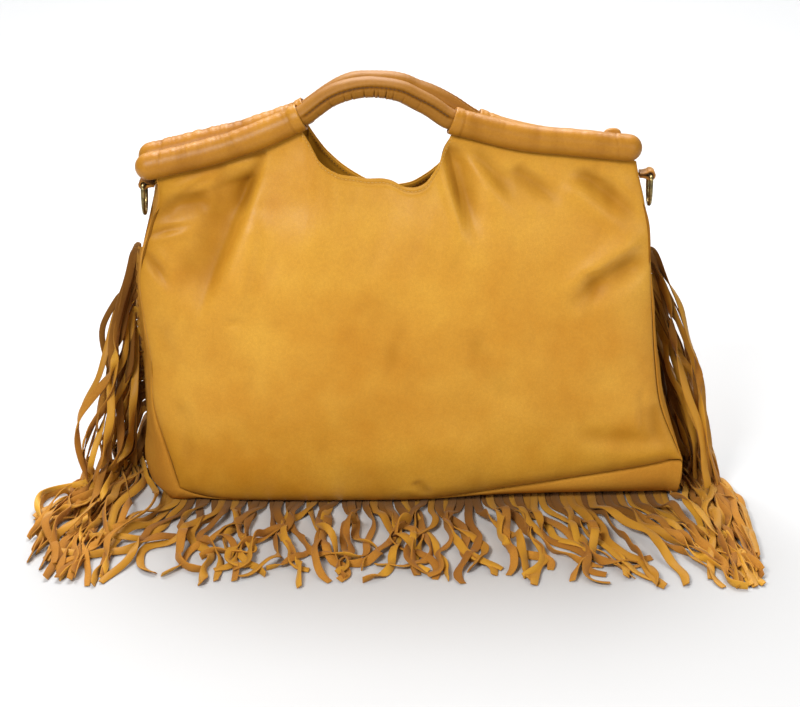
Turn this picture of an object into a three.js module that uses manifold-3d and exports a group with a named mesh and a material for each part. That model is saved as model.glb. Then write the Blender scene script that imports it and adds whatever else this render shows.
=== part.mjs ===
// A soft leather handbag with two parallel padded handle rods, a stuffed body with a gusset,
// and a long strip fringe sewn into the seam between the gusset and the front panel.
// Millimetres. X runs to the right across the bag, the back panel faces -Y, the front panel
// faces +Y, and Z is up from the surface that the fringe lies on.
import * as THREE from "three";
import { mergeVertices } from "three/addons/utils/BufferGeometryUtils.js";
import Module from "manifold-3d";

const wasm = await Module();
wasm.setup();

// Body
const bodyWidth = 420;
const bodyHeight = 300;
const bottomDepth = 94;
const fullness = 20;
const gussetFullness = 26;
const leatherThickness = 2;
const seamGap = 0.35;
const creaseDepth = 5;
const creaseWidth = 13;
const crownPower = 2.6;
const creaseEdgeFade = 2.5;
const creaseEndFade = 2;
const bottomRound = 1.5;
const rollLean = 0.25;
const seamEase = 0.05;
const sharpestMitre = 0.6;

// Handle rods and the sleeves that hold their arms
const frameSpacing = 28;
const gripRise = 53;
const frameDrop = 65;
const gripLean = 1.5;
const gripDiameter = 17;
const armDiameter = 16.4;
const sleeveDiameter = 22;
const sleeveWall = 2;
const cutoutDepth = 42;
const hemStand = 0.7;

// D-rings and the leather tabs that hold them
const ringWire = 3.2;
const ringWidth = 22;
const ringDrop = 26;
const ringCorner = 2.5;
const ringShoulder = 0.3;
const tabWidth = 12;
const tabLoopDiameter = 8.4;
const tabClearance = 0.5;
const tabReach = 9;
const tabDrop = 7;
const tabNeckEase = 0.2;

// Tongue between the sleeves near the right end
const tongueWidth = 14;
const tongueRise = 12;
const tongueLength = 40;
const tongueInset = 12;

// Fringe
const stripThickness = 2;
const lockWidth = 9.5;
const bottomLocks = 27;
const sideLocks = 9;
const bottomReach = 232;
const headerWidth = 9;
const headerAngle = 37;
const fringeTop = 206;
const fringeFoot = 30;
const frontFan = 1.16;
const tipUnevenness = 7;
const lockSway = 4;

// Facets
const tubeSides = 10;
const wireSides = 6;
const gussetSteps = 5;
const lockSteps = 8;
const headerSteps = 7;
const ringBowSteps = 9;

const bodyHalf = bodyWidth / 2;
const apexHeight = bodyHeight + gripRise;
const sleeveRadius = sleeveDiameter / 2;
const floorClearance = stripThickness + seamGap;

// Axis of each rod: across is a share of half the body's width, the drops are shares of
// frameDrop below the grip's highest point.
const rodRows = [
  { across: -0.91, backDrop: 1.0, frontDrop: 0.99 },
  { across: -0.715, backDrop: 0.85, frontDrop: 0.83 },
  { across: -0.525, backDrop: 0.655, frontDrop: 0.67 },
  { across: -0.325, backDrop: 0.36, frontDrop: 0.43 },
  { across: -0.216, backDrop: 0.115, frontDrop: 0.185 },
  { across: -0.13, backDrop: 0.02, frontDrop: 0.05 },
  { across: -0.048, backDrop: 0.0, frontDrop: 0.035 },
  { across: 0.048, backDrop: 0.05, frontDrop: 0.06 },
  { across: 0.105, backDrop: 0.14, frontDrop: 0.135 },
  { across: 0.162, backDrop: 0.24, frontDrop: 0.205 },
  { across: 0.238, backDrop: 0.4, frontDrop: 0.34 },
  { across: 0.335, backDrop: 0.495, frontDrop: 0.545 },
  { across: 0.52, backDrop: 0.63, frontDrop: 0.735 },
  { across: 0.73, backDrop: 0.7, frontDrop: 0.85 },
  { across: 0.915, backDrop: 0.76, frontDrop: 0.88 },
];

// The two frames: where their sleeves' mouths lie, as shares of half the body's width.
const frames = {
  back: { side: -1, drop: "backDrop", leftMouth: -0.324, rightMouth: 0.243 },
  front: { side: 1, drop: "frontDrop", leftMouth: -0.305, rightMouth: 0.338 },
};

// Hem of each cut-out: along runs from the left mouth to the right one, and the dips are
// shares of cutoutDepth below the line between the sleeves' undersides.
const hemRows = [
  { along: 0.0, back: 0.0, front: 0.0 },
  { along: 0.05, back: 0.22, front: 0.26 },
  { along: 0.12, back: 0.56, front: 0.56 },
  { along: 0.25, back: 0.79, front: 0.82 },
  { along: 0.42, back: 0.85, front: 0.92 },
  { along: 0.59, back: 0.88, front: 0.84 },
  { along: 0.7, back: 1.0, front: 0.7 },
  { along: 0.82, back: 0.9, front: 0.46 },
  { along: 0.91, back: 0.54, front: 0.24 },
  { along: 0.965, back: 0.2, front: 0.08 },
  { along: 1.0, back: 0.0, front: 0.0 },
];

// Side seams of the two panels: up is a share of bodyHeight, the seams are shares of half
// the body's width.
const sideRows = [
  { up: 0.0, backLeft: -0.79, backRight: 1.176, frontLeft: -0.924, frontRight: 1.124 },
  { up: 0.05, backLeft: -0.824, backRight: 1.176, frontLeft: -0.943, frontRight: 1.138 },
  { up: 0.133, backLeft: -0.857, backRight: 1.164, frontLeft: -0.967, frontRight: 1.133 },
  { up: 0.3, backLeft: -0.921, backRight: 1.071, frontLeft: -0.986, frontRight: 1.081 },
  { up: 0.433, backLeft: -0.929, backRight: 1.042, frontLeft: -0.99, frontRight: 1.052 },
  { up: 0.55, backLeft: -0.952, backRight: 1.029, frontLeft: -0.99, frontRight: 1.036 },
  { up: 0.667, backLeft: -0.96, backRight: 1.017, frontLeft: -0.976, frontRight: 1.019 },
  { up: 0.8, backLeft: -0.91, backRight: 1.005, frontLeft: -0.929, frontRight: 0.99 },
  { up: 0.873, backLeft: -0.876, backRight: 0.981, frontLeft: -0.905, frontRight: 0.971 },
  { up: 1.0, backLeft: -0.895, backRight: 0.943, frontLeft: -0.89, frontRight: 0.938 },
  { up: 1.2, backLeft: -0.895, backRight: 0.943, frontLeft: -0.89, frontRight: 0.938 },
];

// Bottom seams: along runs from the left seam to the right one, and the lifts are shares
// of bodyHeight.
const bottomRows = [
  { along: 0.0, back: 0.067, front: 0.047 },
  { along: 0.03, back: 0.04, front: 0.03 },
  { along: 0.12, back: 0.03, front: 0.022 },
  { along: 0.35, back: 0.027, front: 0.02 },
  { along: 0.48, back: 0.033, front: 0.02 },
  { along: 0.6, back: 0.053, front: 0.022 },
  { along: 0.76, back: 0.083, front: 0.023 },
  { along: 0.92, back: 0.117, front: 0.027 },
  { along: 1.0, back: 0.14, front: 0.047 },
];

// How far the panels stand out, from the bottom seam up to the sleeve: edge is the side
// seam's share of the way from the rod's plane to the bottom seam's, and swell is the
// panel's crown as a share of fullness.
const depthRows = [
  { up: 0.0, edge: 1.0, swell: 0.0 },
  { up: 0.05, edge: 0.985, swell: 0.22 },
  { up: 0.15, edge: 0.94, swell: 0.55 },
  { up: 0.3, edge: 0.82, swell: 0.86 },
  { up: 0.5, edge: 0.61, swell: 1.0 },
  { up: 0.7, edge: 0.36, swell: 0.85 },
  { up: 0.85, edge: 0.18, swell: 0.45 },
  { up: 0.95, edge: 0.05, swell: 0.13 },
  { up: 1.0, edge: 0.0, swell: 0.0 },
];

// How far the gusset rounds out at the left and right sides: up is a share of bodyHeight,
// the rest are shares of gussetFullness.
const gussetRows = [
  { up: 0.0, left: 0.9, right: 0.1 },
  { up: 0.1, left: 0.8, right: 0.16 },
  { up: 0.2, left: 0.3, right: 0.2 },
  { up: 0.33, left: 0.16, right: 0.2 },
  { up: 0.5, left: 0.12, right: 0.14 },
  { up: 0.667, left: 0.0, right: 0.0 },
  { up: 0.79, left: -0.17, right: -0.17 },
  { up: 0.85, left: 0.0, right: 0.0 },
  { up: 0.9, left: 0.0, right: 0.0 },
  { up: 1.0, left: 0.0, right: 0.0 },
  { up: 1.2, left: 0.0, right: 0.0 },
];

// Valleys pressed into the back panel: ends across as shares of half the body's width and
// up as shares of bodyHeight, sizes as shares of creaseDepth and creaseWidth.
const backCreases = [
  { across: -0.43, up: 0.99, toAcross: -0.757, toUp: 0.6, deep: 1.0, wide: 1.0 },
  { across: -0.905, up: 0.767, toAcross: -0.79, toUp: 0.64, deep: 0.7, wide: 0.8 },
  { across: 0.27, up: 1.0, toAcross: 0.4, toUp: 0.64, deep: 0.9, wide: 1.0 },
  { across: 0.998, up: 0.77, toAcross: 0.8, toUp: 0.6, deep: 0.9, wide: 1.1 },
  { across: 0.87, up: 0.99, toAcross: 0.95, toUp: 0.79, deep: 0.5, wide: 0.7 },
  { across: -0.2, up: 0.14, toAcross: 0.75, toUp: 0.2, deep: -0.5, wide: 1.3 },
];
const frontCreases = [
  { across: -0.5, up: 0.98, toAcross: -0.62, toUp: 0.66, deep: 0.9, wide: 1.0 },
  { across: 0.45, up: 0.95, toAcross: 0.6, toUp: 0.6, deep: 0.9, wide: 1.0 },
  { across: -0.95, up: 0.5, toAcross: -0.7, toUp: 0.4, deep: 0.6, wide: 1.0 },
  { across: 0.98, up: 0.55, toAcross: 0.72, toUp: 0.42, deep: 0.6, wide: 1.0 },
];

// The side fringes from their top lock (down 0) to their lowest (down 1): where a lock
// lands and where it ends, out as a share of half the body's width and toward as a share
// of bottomReach in front of the front panel's seam.
const leftFall = [
  { down: 0.0, landOut: -1.225, landToward: 0.27, endOut: -1.345, endToward: 0.47 },
  { down: 0.25, landOut: -1.18, landToward: 0.2, endOut: -1.36, endToward: 0.66 },
  { down: 0.5, landOut: -1.13, landToward: 0.13, endOut: -1.31, endToward: 0.84 },
  { down: 0.75, landOut: -1.08, landToward: 0.07, endOut: -1.22, endToward: 0.95 },
  { down: 1.0, landOut: -1.03, landToward: 0.02, endOut: -1.11, endToward: 1.0 },
];
const rightFall = [
  { down: 0.0, landOut: 1.355, landToward: 0.27, endOut: 1.445, endToward: 0.47 },
  { down: 0.25, landOut: 1.315, landToward: 0.2, endOut: 1.465, endToward: 0.66 },
  { down: 0.5, landOut: 1.27, landToward: 0.13, endOut: 1.44, endToward: 0.84 },
  { down: 0.75, landOut: 1.225, landToward: 0.07, endOut: 1.38, endToward: 0.94 },
  { down: 1.0, landOut: 1.18, landToward: 0.02, endOut: 1.3, endToward: 0.98 },
];

const mustard = new THREE.Color(0.72, 0.42, 0.09);
const suede = new THREE.Color(0.62, 0.37, 0.1);
const antiqueBrass = new THREE.Color(0.3, 0.24, 0.13);

// A smooth curve through the rows of a table, read at one value of its first column.
function read(rows, key, at, column) {
  const last = rows.length - 1;
  let k = 0;
  while (k < last - 1 && at > rows[k + 1][key]) k += 1;
  const a = rows[k];
  const b = rows[k + 1];
  const span = b[key] - a[key];
  const t = (at - a[key]) / span;
  const slope = (i) => {
    const low = rows[Math.max(i - 1, 0)];
    const high = rows[Math.min(i + 1, last)];
    return (high[column] - low[column]) / (high[key] - low[key]);
  };
  if (t < 0) return a[column] + slope(0) * t * span;
  if (t > 1) return b[column] + slope(last) * (t - 1) * span;
  const t2 = t * t;
  const t3 = t2 * t;
  return (
    (2 * t3 - 3 * t2 + 1) * a[column] +
    (t3 - 2 * t2 + t) * span * slope(k) +
    (3 * t2 - 2 * t3) * b[column] +
    (t3 - t2) * span * slope(k + 1)
  );
}

const mix = (a, b, t) => a + (b - a) * t;

// A closed geometry from points and triangles, turned so that its faces point outwards.
function closedGeometry(points, triangles) {
  let volume = 0;
  const cross = new THREE.Vector3();
  for (const [a, b, c] of triangles) {
    volume += points[a].dot(cross.crossVectors(points[b], points[c]));
  }
  const geometry = new THREE.BufferGeometry();
  geometry.setAttribute(
    "position",
    new THREE.Float32BufferAttribute(
      points.flatMap((p) => [p.x, p.y, p.z]),
      3,
    ),
  );
  geometry.setIndex(triangles.flatMap(([a, b, c]) => (volume < 0 ? [a, c, b] : [a, b, c])));
  geometry.computeVertexNormals();
  return geometry;
}

// Closed body between two grids of points that match row by row.
function sheetGeometry(outer, inner) {
  const rows = outer.length;
  const columns = outer[0].length;
  const points = [...outer.flat(), ...inner.flat()];
  const out = (i, j) => i * columns + j;
  const inn = (i, j) => rows * columns + i * columns + j;
  const triangles = [];
  const quad = (a, b, c, d) => triangles.push([a, b, c], [a, c, d]);
  for (let i = 0; i < rows - 1; i += 1) {
    for (let j = 0; j < columns - 1; j += 1) {
      quad(out(i, j), out(i + 1, j), out(i + 1, j + 1), out(i, j + 1));
      quad(inn(i, j), inn(i, j + 1), inn(i + 1, j + 1), inn(i + 1, j));
    }
  }
  for (let i = 0; i < rows - 1; i += 1) {
    quad(out(i, 0), inn(i, 0), inn(i + 1, 0), out(i + 1, 0));
    quad(out(i, columns - 1), out(i + 1, columns - 1), inn(i + 1, columns - 1), inn(i, columns - 1));
  }
  for (let j = 0; j < columns - 1; j += 1) {
    quad(out(0, j), out(0, j + 1), inn(0, j + 1), inn(0, j));
    quad(out(rows - 1, j), inn(rows - 1, j), inn(rows - 1, j + 1), out(rows - 1, j + 1));
  }
  return closedGeometry(points, triangles);
}

// Normals of a grid, all turned away from a point inside the bag.
function gridNormals(grid, inside) {
  const rows = grid.length;
  const columns = grid[0].length;
  return grid.map((line, i) =>
    line.map((point, j) => {
      const alongRows = new THREE.Vector3().subVectors(
        grid[Math.min(i + 1, rows - 1)][j],
        grid[Math.max(i - 1, 0)][j],
      );
      const alongColumns = new THREE.Vector3().subVectors(
        line[Math.min(j + 1, columns - 1)],
        line[Math.max(j - 1, 0)],
      );
      const normal = alongRows.cross(alongColumns).normalize();
      const away = new THREE.Vector3().subVectors(point, inside);
      return normal.dot(away) < 0 ? normal.negate() : normal;
    }),
  );
}

// Body swept along a rod: rings of the given radius at the given places, each end a pole.
function sweptGeometry(stations, sides) {
  const points = [];
  const rings = [];
  for (const { point, tangent, radius } of stations) {
    if (radius === 0) {
      rings.push([points.length]);
      points.push(point);
      continue;
    }
    const across = new THREE.Vector3(0, 1, 0);
    across.addScaledVector(tangent, -across.dot(tangent)).normalize();
    const up = new THREE.Vector3().crossVectors(across, tangent);
    const ring = [];
    for (let k = 0; k < sides; k += 1) {
      const angle = ((k + 0.5) / sides) * 2 * Math.PI;
      ring.push(points.length);
      points.push(
        point
          .clone()
          .addScaledVector(across, radius * Math.cos(angle))
          .addScaledVector(up, radius * Math.sin(angle)),
      );
    }
    rings.push(ring);
  }
  return closedGeometry(points, ringTriangles(rings, sides, false));
}

function ringTriangles(rings, sides, loop) {
  const triangles = [];
  const joints = loop ? rings.length : rings.length - 1;
  for (let r = 0; r < joints; r += 1) {
    const a = rings[r];
    const b = rings[(r + 1) % rings.length];
    for (let k = 0; k < sides; k += 1) {
      const next = (k + 1) % sides;
      if (a.length === 1) triangles.push([a[0], b[k], b[next]]);
      else if (b.length === 1) triangles.push([a[k], b[0], a[next]]);
      else triangles.push([a[k], b[k], b[next]], [a[k], b[next], a[next]]);
    }
  }
  return triangles;
}

const bag = new THREE.Group();

function addPiece(name, geometry, color, roughness, metalness) {
  const material = new THREE.MeshStandardMaterial({ color, roughness, metalness });
  const piece = new THREE.Mesh(geometry, material);
  piece.name = name;
  bag.add(piece);
  return piece;
}

// The rods

function rodHeight(frame, x) {
  return apexHeight - frameDrop * read(rodRows, "across", x / bodyHalf, frame.drop);
}

function rodPoint(frame, x) {
  const gripHalf = ((frame.rightMouth - frame.leftMouth) * bodyHalf) / 2;
  const gripMiddle = ((frame.rightMouth + frame.leftMouth) * bodyHalf) / 2;
  const inGrip = Math.max(0, 1 - ((x - gripMiddle) / gripHalf) ** 2);
  const y = frame.side * (frameSpacing / 2 - gripLean * inGrip);
  return new THREE.Vector3(x, y, rodHeight(frame, x));
}

function rodTangent(frame, x) {
  const step = 1;
  return rodPoint(frame, x + step).sub(rodPoint(frame, x - step)).normalize();
}

function rodStation(frame, x, radius, beyond = 0) {
  const tangent = rodTangent(frame, x);
  return { point: rodPoint(frame, x).addScaledVector(tangent, beyond), tangent, radius };
}

const rodEnds = [rodRows[0].across * bodyHalf, rodRows[rodRows.length - 1].across * bodyHalf];
const mouthsOf = (frame) => [frame.leftMouth * bodyHalf, frame.rightMouth * bodyHalf];

function handleGeometry(frame) {
  const [leftMouth, rightMouth] = mouthsOf(frame);
  const armRadius = armDiameter / 2;
  const armSteps = 5;
  const gripSteps = 13;
  const swellLength = sleeveRadius / 2;
  const easing = armRadius * Math.SQRT1_2;
  const stations = [rodStation(frame, rodEnds[0], 0, -armRadius)];
  stations.push(rodStation(frame, rodEnds[0], easing, -easing));
  for (let k = 0; k <= armSteps; k += 1) {
    stations.push(rodStation(frame, mix(rodEnds[0], leftMouth, k / armSteps), armRadius));
  }
  for (let k = 0; k <= gripSteps; k += 1) {
    const x = mix(leftMouth + swellLength, rightMouth - swellLength, k / gripSteps);
    stations.push(rodStation(frame, x, gripDiameter / 2));
  }
  for (let k = 0; k <= armSteps; k += 1) {
    stations.push(rodStation(frame, mix(rightMouth, rodEnds[1], k / armSteps), armRadius));
  }
  stations.push(rodStation(frame, rodEnds[1], easing, easing));
  stations.push(rodStation(frame, rodEnds[1], 0, armRadius));
  return sweptGeometry(stations, tubeSides);
}

// A casing with a rounded closed outer end and an open mouth.
function sleeveGeometry(frame, end, mouth) {
  const outward = Math.sign(end - mouth);
  const inner = sleeveRadius - sleeveWall;
  const steps = 5;
  const wall = (radius) => {
    const rounded = [90, 60, 30].map((degrees) => {
      const angle = THREE.MathUtils.degToRad(degrees);
      const ring = degrees === 90 ? 0 : radius * Math.cos(angle);
      return rodStation(frame, end, ring, outward * radius * Math.sin(angle));
    });
    const straight = [];
    for (let k = 0; k <= steps; k += 1) {
      straight.push(rodStation(frame, mix(end, mouth, k / steps), radius));
    }
    return [...rounded, ...straight];
  };
  return sweptGeometry([...wall(sleeveRadius), ...wall(inner).reverse()], tubeSides);
}

// The panels and the gusset

const sideSeam = (column, z) => bodyHalf * read(sideRows, "up", z / bodyHeight, column);

function sleeveUnderside(frame, x) {
  const tangent = rodTangent(frame, x);
  return rodHeight(frame, x) - (sleeveRadius + seamGap) / Math.hypot(tangent.x, tangent.y);
}

// The line that a panel's top edge would keep without its cut-out.
function shoulderLine(frame, x) {
  const [left, right] = mouthsOf(frame);
  if (x <= left || x >= right) return sleeveUnderside(frame, x);
  const along = (x - left) / (right - left);
  return mix(sleeveUnderside(frame, left), sleeveUnderside(frame, right), along);
}

function topEdge(name, frame, x) {
  const [left, right] = mouthsOf(frame);
  const line = shoulderLine(frame, x);
  if (x <= left || x >= right) return line;
  const along = (x - left) / (right - left);
  return line - cutoutDepth * read(hemRows, "along", along, name);
}

// Where a panel's top edge starts or ends, under its sleeve.
function topCorner(frame, column) {
  const rounds = 12;
  let x = sideSeam(column, bodyHeight);
  for (let k = 0; k < rounds; k += 1) x = sideSeam(column, sleeveUnderside(frame, x));
  return x;
}

// How far the creases press a panel in at one place. Each fades towards its two ends.
function creaseAt(creases, x, z) {
  const fadeStart = 0.12;
  const fadeEnd = 0.95;
  let depth = 0;
  for (const row of creases) {
    const from = new THREE.Vector2(row.across * bodyHalf, row.up * bodyHeight);
    const to = new THREE.Vector2(row.toAcross * bodyHalf, row.toUp * bodyHeight);
    const run = to.clone().sub(from);
    const spot = new THREE.Vector2(x, z).sub(from);
    const share = THREE.MathUtils.clamp(spot.dot(run) / run.lengthSq(), 0, 1);
    const away = spot.addScaledVector(run, -share).length() / (row.wide * creaseWidth);
    const fade = Math.sin(Math.PI * mix(fadeStart, fadeEnd, share));
    depth += row.deep * creaseDepth * fade * Math.exp(-away * away);
  }
  return depth;
}

const upShares = [0, 0.05, 0.13, 0.24, 0.37, 0.51, 0.65, 0.78, 0.88, 0.95, 1];
const sleeveColumns = 8;
const hemColumns = 11;

// Outer face of a panel: a column for each place along its top edge, from the bottom seam up.
function panelGrid(name, creases) {
  const frame = frames[name];
  const [leftMouth, rightMouth] = mouthsOf(frame);
  const leftCorner = topCorner(frame, name + "Left");
  const rightCorner = topCorner(frame, name + "Right");
  const tops = [];
  for (let k = 0; k < sleeveColumns; k += 1) tops.push(mix(leftCorner, leftMouth, k / sleeveColumns));
  for (let k = 0; k < hemColumns; k += 1) {
    const share = (1 - Math.cos((Math.PI * k) / hemColumns)) / 2;
    tops.push(mix(leftMouth, rightMouth, share));
  }
  for (let k = 0; k <= sleeveColumns; k += 1) tops.push(mix(rightMouth, rightCorner, k / sleeveColumns));
  return tops.map((x, k) => {
    const top = topEdge(name, frame, x);
    const left = sideSeam(name + "Left", top);
    const right = sideSeam(name + "Right", top);
    let share = (x - left) / (right - left);
    if (k === 0) share = 0;
    if (k === tops.length - 1) share = 1;
    const bottom = bodyHeight * read(bottomRows, "along", share, name);
    const crown = 1 - Math.abs(2 * share - 1) ** crownPower;
    return upShares.map((up) => {
      const z = mix(bottom, top, up);
      const seamX = mix(sideSeam(name + "Left", z), sideSeam(name + "Right", z), share);
      const height = (z - bottom) / (shoulderLine(frame, x) - bottom);
      const place = mix(up, height, hemStand);
      const edge = read(depthRows, "up", place, "edge");
      const swell = read(depthRows, "up", place, "swell");
      const calm = Math.min(1, creaseEdgeFade * crown) * Math.min(1, creaseEndFade * swell);
      const fold = creaseAt(creases, seamX, z) * calm;
      const stand = mix(frameSpacing / 2, bottomDepth / 2, edge) + fullness * swell * crown - fold;
      return new THREE.Vector3(seamX, frame.side * stand, z);
    });
  });
}

const backFace = panelGrid("back", backCreases);
const frontFace = panelGrid("front", frontCreases);

// The seam of a panel, from the left sleeve down, along the bottom and up to the right sleeve.
function seamOf(grid) {
  const lastColumn = grid.length - 1;
  const lastRow = grid[0].length - 1;
  const seam = [];
  for (let j = lastRow; j >= 0; j -= 1) seam.push([0, j]);
  for (let i = 1; i < lastColumn; i += 1) seam.push([i, 0]);
  for (let j = 0; j <= lastRow; j += 1) seam.push([lastColumn, j]);
  return seam;
}

const seam = seamOf(backFace);
const backSeam = seam.map(([i, j]) => backFace[i][j]);
const frontSeam = seam.map(([i, j]) => frontFace[i][j]);

// Away from the bag in the plane of the panels, at one place along the seam.
function seamOutward(k) {
  const before = Math.max(k - 1, 0);
  const after = Math.min(k + 1, seam.length - 1);
  const run = new THREE.Vector3()
    .subVectors(backSeam[after], backSeam[before])
    .add(frontSeam[after])
    .sub(frontSeam[before]);
  run.y = 0;
  return new THREE.Vector3(0, 1, 0).cross(run).normalize();
}

function gussetGrid() {
  return seam.map((_, k) => {
    const back = backSeam[k];
    const front = frontSeam[k];
    const outward = seamOutward(k);
    const middle = (back.z + front.z) / 2;
    const round = read(gussetRows, "up", middle / bodyHeight, outward.x < 0 ? "left" : "right");
    const side = gussetFullness * round * Math.abs(outward.x);
    const under = Math.max(0, -outward.z) * bottomRound;
    const backPull = back.clone().addScaledVector(outward, side);
    backPull.z -= under * (back.z - floorClearance);
    backPull.y -= rollLean * under * Math.max(0, back.z - front.z);
    const frontPull = front.clone().addScaledVector(outward, side);
    frontPull.z -= under * (front.z - floorClearance);
    const section = new THREE.CubicBezierCurve3(back, backPull, frontPull, front);
    const points = [];
    for (let j = 0; j <= gussetSteps; j += 1) {
      const point = section.getPoint(j / gussetSteps);
      point.z = Math.max(point.z, floorClearance);
      points.push(point);
    }
    return points;
  });
}

const gussetFace = gussetGrid();
const bagMiddle = new THREE.Vector3(0, 0, bodyHeight / 3);
const backNormals = gridNormals(backFace, bagMiddle);
const frontNormals = gridNormals(frontFace, bagMiddle);
const gussetNormals = gridNormals(gussetFace, bagMiddle);

function insetGrid(grid, normals) {
  return grid.map((line, i) =>
    line.map((point, j) => point.clone().addScaledVector(normals[i][j], -leatherThickness)),
  );
}

// Where the inner faces of a panel and of the gusset meet at their seam.
function mitre(panelNormal, gussetNormal) {
  const sum = new THREE.Vector3().addVectors(panelNormal, gussetNormal);
  return sum.multiplyScalar(-leatherThickness / Math.max(sharpestMitre, 1 + panelNormal.dot(gussetNormal)));
}

// Moves one seam point of a sheet's two faces towards the sheet, by half the seam's gap.
function openSeam(outer, inner, place, towards, inset) {
  const [i, j] = place;
  const point = outer[i][j];
  const away = new THREE.Vector3().subVectors(towards, point);
  const along = inset.clone().normalize();
  away.addScaledVector(along, -away.dot(along)).setLength(seamGap / 2 + seamEase);
  inner[i][j] = point.clone().add(inset).add(away);
  return point.clone().add(away);
}

function sewnSheets() {
  const gussetInner = insetGrid(gussetFace, gussetNormals);
  const gussetOuter = gussetFace.map((line) => line.map((point) => point.clone()));
  const sheets = [
    { name: "back_panel", face: backFace, normals: backNormals, column: 0 },
    { name: "front_panel", face: frontFace, normals: frontNormals, column: gussetSteps },
  ];
  for (const { name, face, normals, column } of sheets) {
    const inner = insetGrid(face, normals);
    const outer = face.map((line) => line.map((point) => point.clone()));
    const lastColumn = face.length - 1;
    seam.forEach(([i, j], k) => {
      const inset = mitre(normals[i][j], gussetNormals[k][column]);
      const inColumn = Math.min(Math.max(i, 1), lastColumn - 1);
      const inRow = i > 0 && i < lastColumn ? 1 : Math.max(j, 1);
      outer[i][j] = openSeam(face, inner, [i, j], face[inColumn][inRow], inset);
      const beside = column === 0 ? 1 : gussetSteps - 1;
      const towards = gussetFace[k][beside];
      gussetOuter[k][column] = openSeam(gussetFace, gussetInner, [k, column], towards, inset);
    });
    addPiece(name, sheetGeometry(outer, inner), mustard, 0.5, 0);
  }
  addPiece("gusset", sheetGeometry(gussetOuter, gussetInner), mustard, 0.5, 0);
}

sewnSheets();

for (const [name, frame] of Object.entries(frames)) {
  const [leftMouth, rightMouth] = mouthsOf(frame);
  addPiece(name + "_sleeve_left", sleeveGeometry(frame, rodEnds[0], leftMouth), mustard, 0.45, 0);
  addPiece(name + "_sleeve_right", sleeveGeometry(frame, rodEnds[1], rightMouth), mustard, 0.45, 0);
  addPiece(name + "_handle", handleGeometry(frame), mustard, 0.45, 0);
}

// The D-rings in their tabs

// Furthest that the gusset's outer face reaches sideways within a tab's height and width.
function gussetReach(side, z) {
  const spots = [];
  for (const height of [z - tabLoopDiameter / 2, z, z + tabLoopDiameter / 2]) {
    for (const y of [-tabWidth / 2, tabWidth / 2]) {
      const name = side < 0 ? "Left" : "Right";
      const back = sideSeam("back" + name, height);
      const front = sideSeam("front" + name, height);
      spots.push(side * mix(back, front, 0.5 + y / frameSpacing));
    }
  }
  return side * Math.max(...spots);
}

function ringPlace(side) {
  const end = rodEnds[side < 0 ? 0 : 1];
  const z = Math.min(
    rodHeight(frames.back, end) - sleeveRadius,
    rodHeight(frames.front, end) - sleeveRadius,
  ) - tabDrop;
  return new THREE.Vector3(gussetReach(side, z) + side * tabReach, 0, z);
}

function ringGeometry(place) {
  const half = ringWidth / 2 + ringWire / 2;
  const shoulder = ringDrop * ringShoulder;
  const path = [
    [-half + ringCorner, 0],
    [half - ringCorner, 0],
    [half, -ringCorner],
  ];
  for (let k = 0; k <= ringBowSteps; k += 1) {
    const angle = (Math.PI * k) / ringBowSteps;
    path.push([half * Math.cos(angle), -shoulder - (ringDrop - shoulder) * Math.sin(angle)]);
  }
  path.push([-half, -ringCorner]);
  const points = [];
  const rings = path.map(([y, z], k) => {
    const before = path[(k + path.length - 1) % path.length];
    const after = path[(k + 1) % path.length];
    const tangent = new THREE.Vector3(0, after[0] - before[0], after[1] - before[1]).normalize();
    const side = new THREE.Vector3(1, 0, 0);
    const outward = new THREE.Vector3().crossVectors(side, tangent);
    const ring = [];
    for (let s = 0; s < wireSides; s += 1) {
      const angle = (s / wireSides) * 2 * Math.PI;
      ring.push(points.length);
      points.push(
        new THREE.Vector3(0, y, z)
          .add(place)
          .addScaledVector(side, (ringWire / 2) * Math.cos(angle))
          .addScaledVector(outward, (ringWire / 2) * Math.sin(angle)),
      );
    }
    return ring;
  });
  return closedGeometry(points, ringTriangles(rings, wireSides, true));
}

// A strip folded round the ring's bar, with its two ends sewn flat to the gusset.
function tabGeometry(side, place) {
  const radius = tabLoopDiameter / 2;
  const neck = leatherThickness + tabNeckEase;
  const opening = Math.asin(neck / radius);
  const root = side * (place.x - gussetReach(side, place.z)) - seamGap;
  const profile = new THREE.Shape();
  profile.absarc(0, 0, radius, -Math.PI + opening, Math.PI - opening, false);
  profile.lineTo(-root, neck);
  profile.lineTo(-root, -neck);
  const eye = new THREE.Path();
  eye.absarc(0, 0, ringWire / 2 + tabClearance, 0, 2 * Math.PI, true);
  profile.holes.push(eye);
  const geometry = new THREE.ExtrudeGeometry(profile, {
    depth: tabWidth,
    bevelEnabled: false,
    curveSegments: 5,
  });
  geometry.translate(0, 0, -tabWidth / 2);
  geometry.rotateX(Math.PI / 2);
  if (side < 0) geometry.rotateZ(Math.PI);
  geometry.translate(place.x, place.y, place.z);
  return geometry;
}

for (const [name, side] of [["left", -1], ["right", 1]]) {
  const place = ringPlace(side);
  addPiece("ring_tab_" + name, tabGeometry(side, place), mustard, 0.55, 0);
  addPiece("ring_" + name, ringGeometry(place), antiqueBrass, 0.35, 1);
}

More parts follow.
